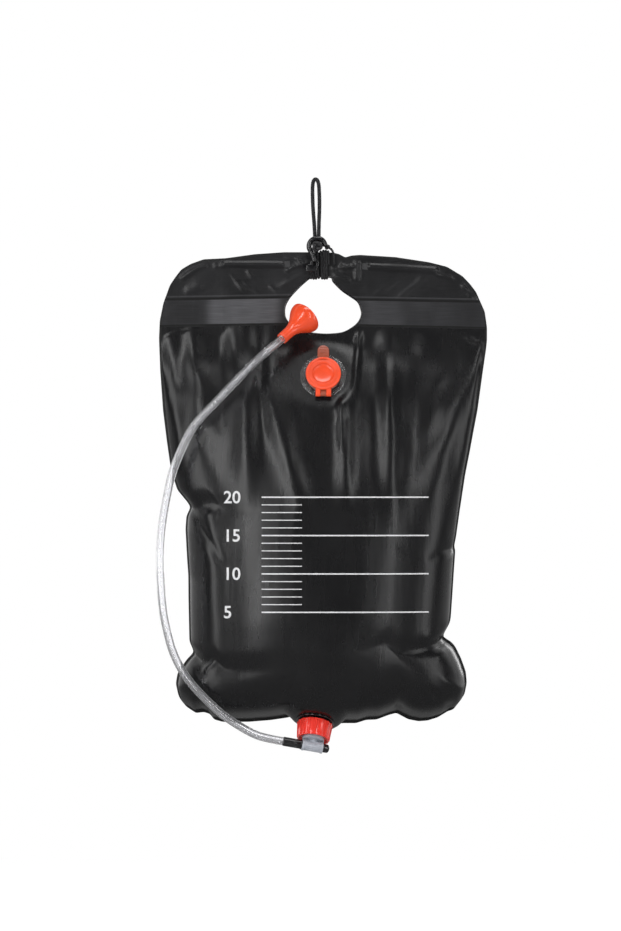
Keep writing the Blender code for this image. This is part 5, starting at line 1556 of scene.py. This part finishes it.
def film_mesh(points, across, down, side):
    """Film of real thickness under its outer face, with maps of the flat cut and of the weld band."""
    rows, columns = points.shape[:2]
    number = np.arange(rows * columns).reshape(rows, columns)
    a, b = number[:-1, :-1].ravel(), number[1:, :-1].ravel()
    c, d = number[1:, 1:].ravel(), number[:-1, 1:].ravel()
    faces = np.stack([a, b, c, d] if side < 0 else [d, c, b, a], axis=1)
    mesh = bpy.data.meshes.new("film")
    mesh.from_pydata(points.reshape(-1, 3).tolist(), [], faces.tolist())
    shares = np.stack(np.meshgrid(across, down), axis=2).reshape(-1, 2)
    px, py = pixels(points[..., 0].ravel(), points[..., 2].ravel())
    top, foot = level_line(BAND_TOP_PX, px), level_line(BAND_FOOT_PX, px)
    in_band = np.stack([shares[:, 0], (py - top) / (foot - top)], axis=1)
    for name, places in (("cut", shares), ("band", in_band)):
        layer = mesh.uv_layers.new(name=name)
        layer.data.foreach_set("uv", places[faces.ravel()].ravel())
    holder = holder_of(mesh)
    shell = holder.modifiers.new("thickness", "SOLIDIFY")
    shell.thickness = FILM
    shell.offset = -1
    return baked(holder)


def handle_hole_outline(count):
    places = [(HOLE_CENTRE_X + across * HOLE_HALF_WIDTH, BAG_TOP - HOLE_TOP_DROP - down * HOLE_HEIGHT)
              for across, down in HOLE_OUTLINE_SHARES]
    fine = spline(places, 12, closed=True)
    return evenly(np.vstack([fine, fine[:1]]), count + 1)[:-1]


def add_film(name, side, folds, depths, node):
    wrinkles = None if depths is None else wrinkles_of(depths)
    points, across, down = film_surface(side, folds, wrinkles)
    mesh = film_mesh(points, across, down, side)
    prism = slab([(p[0], p[1]) for p in handle_hole_outline(120)], -FILM_CUT, FILM_CUT)
    prism.transform(UPRIGHT)
    mesh = without(mesh, prism)
    if side < 0:
        bore = rod(NECK_BORE_RADIUS, -NECK_CUT, NECK_CUT)
        bore.transform(FILLER)
        mesh = without(mesh, bore)
    film = add_piece(name, mesh, "black_film", "bag", replaces=(node,), smooth=180)
    return film


def add_hole_bead():
    """Pressed weld that closes the two films round the handle hole."""
    outline = handle_hole_outline(180)
    ring = np.stack([outline[:, 0], np.zeros(len(outline)), outline[:, 1]], axis=1)
    add_piece("handle_hole_weld", tube(ring, HOLE_BEAD, 12, closed=True), "black_plastic", "bag",
              smooth=180)


# Level scale

def on_film(mesh, tree):
    """Lays a flat printed shape on the front film."""
    bm = bmesh.new()
    bm.from_mesh(mesh)
    xs = [v.co.x for v in bm.verts]
    zs = [v.co.z for v in bm.verts]
    for low, high, axis in ((min(xs), max(xs), 0), (min(zs), max(zs), 2)):
        cuts = int((high - low) / SCALE_BEND)
        for k in range(1, cuts + 1):
            place = [0, 0, 0]
            place[axis] = low + (high - low) * k / (cuts + 1)
            normal = [0, 0, 0]
            normal[axis] = 1
            whole = [*bm.verts, *bm.edges, *bm.faces]
            bmesh.ops.bisect_plane(bm, geom=whole, plane_co=place, plane_no=normal)
    for vertex in bm.verts:
        hit = tree.ray_cast(Vector((vertex.co.x, -0.5, vertex.co.z)), Vector((0, 1, 0)))
        vertex.co.y += hit[0].y - INK
    bm.to_mesh(mesh)
    bm.free()
    return mesh


def number_mesh(text, px, py):
    """A number whose middle height is at a pixel of the photograph."""
    data = bpy.data.curves.new("number", "FONT")
    data.body = text
    data.size = SCALE_LETTER
    data.extrude = INK / 2
    data.offset = 0.0003
    data.resolution_u = 5
    mesh = baked(holder_of(data))
    mesh.transform(UPRIGHT)
    x, z = spot(px, py)
    mesh.transform(Matrix.Translation((x, 0, z - SCALE_LETTER * 0.34)))
    return mesh


def bar_mesh(px, py, length_px, thickness):
    """Flat printed bar that starts at a pixel and runs right."""
    x, z = spot(px, py)
    half = thickness / 2
    end = x + length_px * PIXEL
    outline = [(x, z - half), (end, z - half), (end, z + half), (x, z + half)]
    mesh = slab(outline, -INK / 2, INK / 2)
    mesh.transform(UPRIGHT)
    return mesh


def add_level_scale(film):
    graph = bpy.context.evaluated_depsgraph_get()
    tree = BVHTree.FromObject(film, graph)
    marks = []
    for k, (py, text) in enumerate(SCALE_ROWS_PX):
        marks.append(number_mesh(text, SCALE_LEFT_PX, py))
        left, right = SCALE_LINE_PX
        marks.append(bar_mesh(left, py, right - left, SCALE_LINE))
    step = (SCALE_ROWS_PX[1][0] - SCALE_ROWS_PX[0][0]) / (SCALE_TICKS + 1)
    for row in range(len(SCALE_ROWS_PX) - 1):
        first = SCALE_ROWS_PX[row][0] + step
        tick = bar_mesh(SCALE_LINE_PX[0], first, SCALE_TICK_PX, SCALE_TICK)
        marks.append(grown(tick, ROW, "white_ink", Count=SCALE_TICKS, Step=(0, 0, -step * PIXEL)))
    laid = [on_film(mark, tree) for mark in marks]
    add_piece("level_scale", together(*laid), "white_ink", "bag")


# Hook

def add_hook():
    ring = arc((HOOK_PLACE.x, HOOK_PLACE.z), HOOK_RING_RADIUS, HOOK_TIP, HOOK_LEAVE, 40)
    points = [Vector((x, HOOK_PLACE.y, z)) for x, z in ring]
    leave = points[-1]
    foot = HOOK_EYE + Vector((0, 0, HOOK_EYE_RADIUS - HOOK_SECTION / 4))
    shank = [leave]
    for across, down in HOOK_SHANK_SHARES:
        x = leave.x + (foot.x - leave.x) * across
        z = leave.z + (foot.z - leave.z) * down
        shank.append(Vector((x, leave.y, z)))
    line = np.vstack([np.array([tuple(p) for p in points[:-1]]), spline([tuple(p) for p in shank], 8)])
    body = tube(evenly(line, 90), HOOK_SECTION / 2, 28, end_round=HOOK_SECTION * 0.32)
    eye = turned([(HOOK_EYE_RADIUS, -HOOK_EYE_HALF, 0.0012), (HOOK_EYE_BORE, -HOOK_EYE_HALF, 0.0008),
                  (HOOK_EYE_BORE, HOOK_EYE_HALF, 0.0008), (HOOK_EYE_RADIUS, HOOK_EYE_HALF, 0.0012)], 64)
    bore = rod(HOOK_EYE_BORE, -HOOK_EYE_CUT, HOOK_EYE_CUT, 48)
    for mesh in (eye, bore):
        mesh.transform(Matrix.Translation(HOOK_EYE) @ UPRIGHT)
    wide, deep, tall = (size / 2 for size in HOOK_FOOT_SIZE)
    foot_block = slab(rounded([(-wide, -tall, 0.002), (wide, -tall, 0.002), (wide, tall, 0.003),
                               (-wide, tall, 0.004)]), -deep, deep, 0.0008, 3)
    foot_block.transform(Matrix.Translation(HOOK_FOOT_PLACE) @ UPRIGHT)
    whole = together(without(body, bore), eye, without(foot_block, bore))
    add_piece("s_hook", whole, "black_plastic", "bag", replaces=("hook",), smooth=40)


# Filler

def eye_arm(radius, near, far, root_points, first_degrees, last_degrees, edge):
    """Arm between two places along X, from its root round an eye on the hinge axis."""
    eye = arc((0, 0), radius, math.radians(first_degrees), math.radians(last_degrees), 24)
    mesh = slab([*root_points, *eye], near, far, edge)
    mesh.transform(Matrix(((0, 0, 1, 0), (1, 0, 0, -PIN_OFFSET), (0, 1, 0, PIN_HEIGHT), (0, 0, 0, 1))))
    return mesh


def add_filler():
    neck_outside = NECK_BORE_RADIUS + NECK_WALL
    top = FLANGE_LOW + FLANGE_THICKNESS
    flange = [(FLANGE_RADIUS, top - 0.0002, 0.0003), (FLANGE_RADIUS, FLANGE_LOW),
              (NECK_BORE_RADIUS, FLANGE_LOW), (NECK_BORE_RADIUS, NECK_HEIGHT, 0.0005),
              (neck_outside, NECK_HEIGHT, 0.0005), (neck_outside, top + NECK_FILLET, 0.0006),
              (neck_outside + NECK_FILLET, top, 0.0006)]
    for radius in FLANGE_WELD_RADII:
        flange += weld_ring(radius, top)
    add_piece("filler_neck", turned(flange, 128), "clear_film", "bag", replaces=("filler_flange",),
              matrix=FILLER)

    seat = turned([(SEAT_RADIUS, NECK_HEIGHT, 0.0006), (SEAT_RADIUS, SEAT_FOOT, 0.0004),
                   (SEAT_BORE, SEAT_FOOT), (SEAT_BORE, NECK_HEIGHT, 0.0004)], 128)
    root = PIN_OFFSET - SEAT_BORE - 0.0015
    knuckle = eye_arm(KNUCKLE_RADIUS, -LEG_GAP / 2 + SMALL_GAP, LEG_GAP / 2 - SMALL_GAP,
                      ((root, -KNUCKLE_RADIUS * 0.80), (root, KNUCKLE_RADIUS * 0.45)), 65, 295, 0.0003)
    add_piece("filler_ring", together(seat, knuckle), "orange_tab", "bag",
              replaces=("filler_seat",), matrix=FILLER)
    pin_half = LEG_GAP / 2 + LEG_WIDTH
    pin = rod(PIN_RADIUS, -pin_half, pin_half, 32, 0.0003)
    pin.transform(Matrix.Translation((0, -PIN_OFFSET, PIN_HEIGHT)) @ Matrix.Rotation(math.pi / 2, 4, "Y"))
    add_piece("hinge_pin", pin, "orange_plastic", "bag", replaces=("lid_hinge_pin",), matrix=FILLER)
    add_lid()


def add_lid():
    dish_top = LID_HIGH - DISH_DEPTH
    dish_under = dish_top - DISH_FLOOR
    wall = PLUG_RADIUS - DISH_FLOOR
    groove_inside = DISH_RADIUS + LID_GROOVE_INSIDE
    groove_outside = LID_RADIUS - LID_GROOVE_OUTSIDE
    profile = [
        (LID_RADIUS, LID_HIGH, 0.0009), (LID_RADIUS, LID_LOW, 0.0004), (PLUG_RADIUS, LID_LOW, 0.0002),
        (PLUG_RADIUS, PLUG_END + PLUG_BEAD_HEIGHT),
        (PLUG_RADIUS + PLUG_BEAD, PLUG_END + PLUG_BEAD_HEIGHT / 2, 0.0003),
        (PLUG_RADIUS + PLUG_BEAD / 2, PLUG_END), (wall, PLUG_END), (wall, dish_under), (0, dish_under),
        *[(DISH_RADIUS * share, dish_top + DISH_DEPTH * rise) for share, rise in DISH_SHARES],
        (DISH_RADIUS + 0.0004, LID_HIGH, 0.0003), (groove_inside, LID_HIGH, 0.0004),
        (groove_inside + LID_GROOVE_SLOPE, LID_HIGH - LID_GROOVE, 0.0004),
        (groove_outside - LID_GROOVE_SLOPE, LID_HIGH - LID_GROOVE, 0.0004),
        (groove_outside, LID_HIGH, 0.0004)]
    lid = turned(profile, 144)
    rim = PIN_OFFSET - LID_RADIUS + LEG_THICKNESS
    rim_low = LID_LOW - PIN_HEIGHT
    root = ((PIN_OFFSET - SEAT_RADIUS - SMALL_GAP * 2, rim_low), (rim, rim_low),
            (rim, LID_HIGH - PIN_HEIGHT - 0.0006))
    legs = []
    for side in (-1, 1):
        near, far = sorted((side * LEG_GAP / 2, side * (LEG_GAP / 2 + LEG_WIDTH)))
        legs.append(eye_arm(EYE_RADIUS, near, far, root, 75, 362, 0.0005))
    add_piece("lid_shell", together(lid, *legs), "orange_plastic", "lid", replaces=("filler_lid",),
              matrix=FILLER)

    half = TAB_WIDTH / 2
    outline = [(-half, LID_RADIUS - TAB_ROOT), (half, LID_RADIUS - TAB_ROOT),
               *arc((0, TAB_REACH - half), half, 0, math.pi, 32)]
    low = LID_LOW + SMALL_GAP
    face = low + TAB_THICKNESS
    tab = slab(outline, low, face, 0.0005, 3)
    end = half - TAB_GRIP_INSET
    grip = slab([(-end, 0), (end, 0), (end, TAB_GRIP_WIDTH), (-end, TAB_GRIP_WIDTH)], face - 0.0002,
                face + 0.0004, 0.0003)
    grip.transform(Matrix.Translation((0, TAB_REACH - half - TAB_GRIP_START, 0)))
    grips = grown(grip, ROW, "orange_tab", Count=TAB_GRIPS, Step=(0, TAB_GRIP_STEP, 0))
    add_piece("lid_tab", together(tab, grips), "orange_tab", "lid", matrix=FILLER)


# Outlet and valve

def rib_mesh(root, shoulder, crest, foot_width, crest_width, low, high, edge, steps):
    """Upright rib that stands out along X from its root, past its shoulder, to its narrower crest."""
    near = [(root, -foot_width / 2), (shoulder, -foot_width / 2), (crest, -crest_width / 2)]
    far = [(x, -y) for x, y in reversed(near)]
    return slab([*near, *far], low, high, edge, steps)


def thread_mesh(root, crest, start, turns, sides=72):
    """Helical ridge about Z from a root radius to a crest radius."""
    bm = bmesh.new()
    rings = []
    for k in range(round(turns * sides) + 1):
        turn = math.tau * k / sides
        run_out = min(k, round(turns * sides) - k) / (sides / 6)
        high = root + (crest - root) * min(run_out, 1)
        middle = start + THREAD_PITCH * k / sides
        section = ((root, -0.0009), (high, -0.0004), (high, 0.0004), (root, 0.0009))
        rings.append([bm.verts.new((r * math.cos(turn), r * math.sin(turn), middle + z)) for r, z in section])
    join_rings(bm, rings)
    bm.faces.new(rings[0])
    bm.faces.new(rings[-1])
    return tidied(bm)


def add_outlet():
    low = SMALL_GAP
    high = low + SPOUT_FLANGE
    spout = turned([(SPOUT_FLANGE_RADIUS, high, 0.0004), (SPOUT_FLANGE_RADIUS, low), (SPOUT_BORE_RADIUS, low),
                    (SPOUT_BORE_RADIUS, SPOUT_LENGTH, 0.0004), (SPOUT_RADIUS, SPOUT_LENGTH, 0.0005),
                    (SPOUT_RADIUS, high + SPOUT_FILLET, 0.0008), (SPOUT_RADIUS + SPOUT_FILLET, high, 0.0008),
                    *weld_ring(SPOUT_WELD_RADIUS, high)], 128)
    thread = thread_mesh(SPOUT_RADIUS - 0.0003, SPOUT_RADIUS + THREAD_HEIGHT, THREAD_START, THREAD_TURNS)
    add_piece("spout", together(spout, thread), "black_plastic", "bag", replaces=("outlet_spout",),
              matrix=OUTLET)

    taper = (COLLAR_TOP_RADIUS - COLLAR_FOOT_RADIUS) / (COLLAR_FOOT - COLLAR_START)
    body = turned([
        (COLLAR_TOP_RADIUS, COLLAR_START, 0.0008), (COLLAR_FOOT_RADIUS, COLLAR_FOOT, 0.0008),
        (COLLAR_FOOT_BORE, COLLAR_FOOT, 0.0005), (COLLAR_FOOT_BORE, COLLAR_LIP_HIGH),
        (COLLAR_LIP_RADIUS, COLLAR_LIP_HIGH, 0.0003), (COLLAR_LIP_RADIUS, COLLAR_LIP_LOW, 0.0003),
        (COLLAR_BORE, COLLAR_LIP_LOW), (COLLAR_BORE, COLLAR_START, 0.0006)], 144)
    inner = thread_mesh(COLLAR_BORE + 0.0003, SPOUT_RADIUS + 0.0007, THREAD_START + THREAD_PITCH / 2,
                        THREAD_TURNS)
    length = COLLAR_FOOT - COLLAR_START
    rib = rib_mesh(-0.0012, 0.0002, COLLAR_RIB, *COLLAR_RIB_WIDTHS, 0.0004, length - 0.0004, 0.00045, 3)
    for vertex in rib.vertices:
        vertex.co.x -= taper * vertex.co.z
    rib.transform(Matrix.Translation((0, 0, COLLAR_START)))
    ribs = grown(rib, RING, "red_plastic", Count=COLLAR_RIBS, Radius=COLLAR_TOP_RADIUS, First_Turn=0.1)
    add_piece("union_nut", together(body, ribs, inner), "red_plastic", "collar", replaces=("collar_nut",),
              matrix=OUTLET)


def add_valve():
    recess = HUB_END - 0.0004
    web_top = HUB_END - 0.001
    hub = turned([
        (VALVE_FLANGE_RADIUS, VALVE_FLANGE_HIGH, 0.0004), (VALVE_FLANGE_RADIUS, VALVE_FLANGE_LOW, 0.0003),
        (VALVE_TUBE_BORE, VALVE_FLANGE_LOW), (VALVE_TUBE_BORE, recess), (HUB_RADIUS * 0.82, recess, 0.0006),
        (HUB_RADIUS * 0.88, HUB_END, 0.0004), (HUB_RADIUS, HUB_END, 0.0007), (HUB_RADIUS, VALVE_FLANGE_HIGH)])
    foot = BARREL_REACH - math.sqrt(BARREL_RADIUS ** 2 - VALVE_TUBE_RADIUS ** 2)
    tube_wall = turned([(VALVE_TUBE_RADIUS, foot), (VALVE_TUBE_RADIUS, web_top), (VALVE_TUBE_BORE, web_top),
                        (VALVE_TUBE_BORE, foot)], 64)
    lying = Matrix.Translation((0, 0, BARREL_REACH)) @ Matrix.Rotation(math.pi / 2, 4, "Y")
    bore = rod(BARREL_BORE, -BARREL_CUT, BARREL_CUT)
    bore.transform(lying)
    tube_wall = without(tube_wall, bore)
    web_end = BARREL_REACH - (BARREL_RADIUS + BARREL_BORE) / 2
    webs = []
    for side in (-1, 1):
        outline = [(side * VALVE_WEB_INSIDE, web_top), (side * (VALVE_WEB_HALF + VALVE_WEB_FLARE), web_top),
                   (side * VALVE_WEB_HALF, web_end), (side * VALVE_WEB_INSIDE, web_end)]
        web = slab(outline, -VALVE_WEB / 2, VALVE_WEB / 2, 0.0003)
        web.transform(UPRIGHT)
        webs.append(web)
    half = BARREL_HALF_LENGTH
    rim = BARREL_RADIUS + BARREL_RIM
    right_end = [(BARREL_BORE, half, 0.0003), (BARREL_RADIUS, half, 0.0006), (rim, half - BARREL_RIM, 0.0004),
                 (rim, half - BARREL_RIM_WIDTH + 0.0004, 0.0004),
                 (BARREL_RADIUS, half - BARREL_RIM_WIDTH, 0.0004)]
    left_end = [(radius, -along, edge) for radius, along, edge in reversed(right_end)]
    barrel = turned([*right_end, *left_end], 72)
    barrel.transform(lying)
    add_piece("valve_shell", together(hub, tube_wall, *webs, barrel), "grey_plastic", "valve",
              replaces=("valve_body",), matrix=OUTLET)


def add_spool():
    end = BARREL_HALF_LENGTH + SPOOL_TRAVEL
    stem_end = -BARREL_HALF_LENGTH - GRIP_LENGTH
    quarter = arc((0, 0), 1, 0, math.pi / 2, 8)
    dome = [(SPOOL_RADIUS * across, end - SPOOL_DOME * (1 - along)) for along, across in quarter]
    bore_end = SPOOL_TRAVEL + SPOOL_BORE_WALL
    body = turned([*dome, (SPOOL_RADIUS, BARREL_HALF_LENGTH + BARREL_RIM),
                   (SPOOL_RADIUS, -BARREL_HALF_LENGTH, 0.0003), (SPOOL_STEM_RADIUS, -BARREL_HALF_LENGTH),
                   (SPOOL_STEM_RADIUS, stem_end), (SPOOL_BORE, stem_end), (SPOOL_BORE, bore_end),
                   (0, bore_end)], 72)
    add_piece("spool_body", body, "black_plastic", "spool", replaces=("valve_spool",), matrix=SPOOL)

    rim_face = -BARREL_HALF_LENGTH - SMALL_GAP
    foot = rim_face - GRIP_LENGTH
    inside = SPOOL_STEM_RADIUS + SMALL_GAP
    rim_back = rim_face - GRIP_RIM
    grip = turned([(GRIP_RIM_RADIUS, rim_face, 0.0004), (inside, rim_face), (inside, foot),
                   (GRIP_RADIUS, foot, 0.0018), (GRIP_RADIUS, rim_back, 0.0003),
                   (GRIP_RIM_RADIUS, rim_back, 0.0004)], 84)
    length = GRIP_LENGTH - GRIP_RIM - 0.0010
    rib = rib_mesh(-0.0006, 0.0001, GRIP_RIB, *GRIP_RIB_WIDTHS, 0, length, 0.0002, 2)
    rib.transform(Matrix.Translation((0, 0, foot + 0.0006)))
    ribs = grown(rib, RING, "black_plastic", Count=GRIP_RIBS, Radius=GRIP_RADIUS, First_Turn=0.2)
    add_piece("grip_sleeve", together(grip, ribs), "black_plastic", "spool", replaces=("spool_grip",),
              matrix=SPOOL)


# Shower head

def add_head():
    flare = HEAD_RIM_RADIUS - HEAD_STEM_RADIUS
    fine = spline(HEAD_PROFILE_SHARES, 5)
    outside = [(HEAD_STEM_RADIUS + flare * r, HEAD_LENGTH * s) for s, r in fine]
    ledge = HEAD_LENGTH - PLATE_INSET - PLATE_THICKNESS - SMALL_GAP
    inner_rim = HEAD_RIM_RADIUS - HEAD_WALL
    inside = [(max(r - HEAD_WALL, HEAD_BORE), z + HEAD_WALL / 2) for r, z in outside
              if HEAD_SOLID_STEM < z < ledge - HEAD_WALL * 2]
    profile = [(inner_rim, HEAD_LENGTH, 0.0003), (HEAD_RIM_RADIUS, HEAD_LENGTH, 0.0006)]
    profile += list(reversed(outside[1:-1]))
    profile += [(HEAD_STEM_RADIUS, 0, 0.0004), (HEAD_BORE, 0), (HEAD_BORE, inside[0][1]), *inside]
    profile += [(inner_rim - HEAD_WALL, ledge), (inner_rim, ledge)]
    shell = add_piece("head_shell", turned(profile, 120), "orange_plastic", "spool",
                      replaces=("shower_head",), matrix=HEAD)

    low = ledge + SMALL_GAP
    radius = inner_rim - SMALL_GAP
    face = low + PLATE_THICKNESS
    disc = turned([(radius, face, 0.0003), (radius, low), (0, low), (0, face + 0.0006),
                   (radius * 0.5, face + 0.0004, 0.004)])
    hole = rod(PLATE_HOLE, low - 0.003, low + 0.006, 12)
    holes = [hole]
    for ring, count in enumerate(PLATE_RING_HOLES, 1):
        holes.append(grown(hole, RING, "orange_plastic", Count=count, Radius=PLATE_RING_SPACING * ring,
                           First_Turn=0.0))
    disc = without(disc, together(*holes))
    plate = add_piece("head_plate", disc, "orange_plastic", "spool", replaces=("spray_plate",), matrix=HEAD)
    return [shell, plate]


NODE_FINISHES = {
    "hem_batten_left": "batten_plastic",
    "hem_batten_right": "batten_plastic",
    "lid_seal": "white_rubber",
    "outlet_gasket": "white_rubber",
    "spool_seal_left": "white_rubber",
    "spool_seal_middle": "white_rubber",
    "spool_seal_right": "white_rubber",
}

add_cords()
front_depths, back_depths = filled_cloth()
front_film = add_film("front_film", -1, FRONT_FOLDS_PX, front_depths, "front_panel")
add_film("back_film", 1, BACK_FOLDS_PX, back_depths, "back_panel")
add_hole_bead()
add_level_scale(front_film)
add_hook()
add_filler()
add_outlet()
add_valve()
add_spool()
add_hose(add_head())
for node, finish in NODE_FINISHES.items():
    frame["nodes"][node].material_slots[0].material = FINISHES[finish]
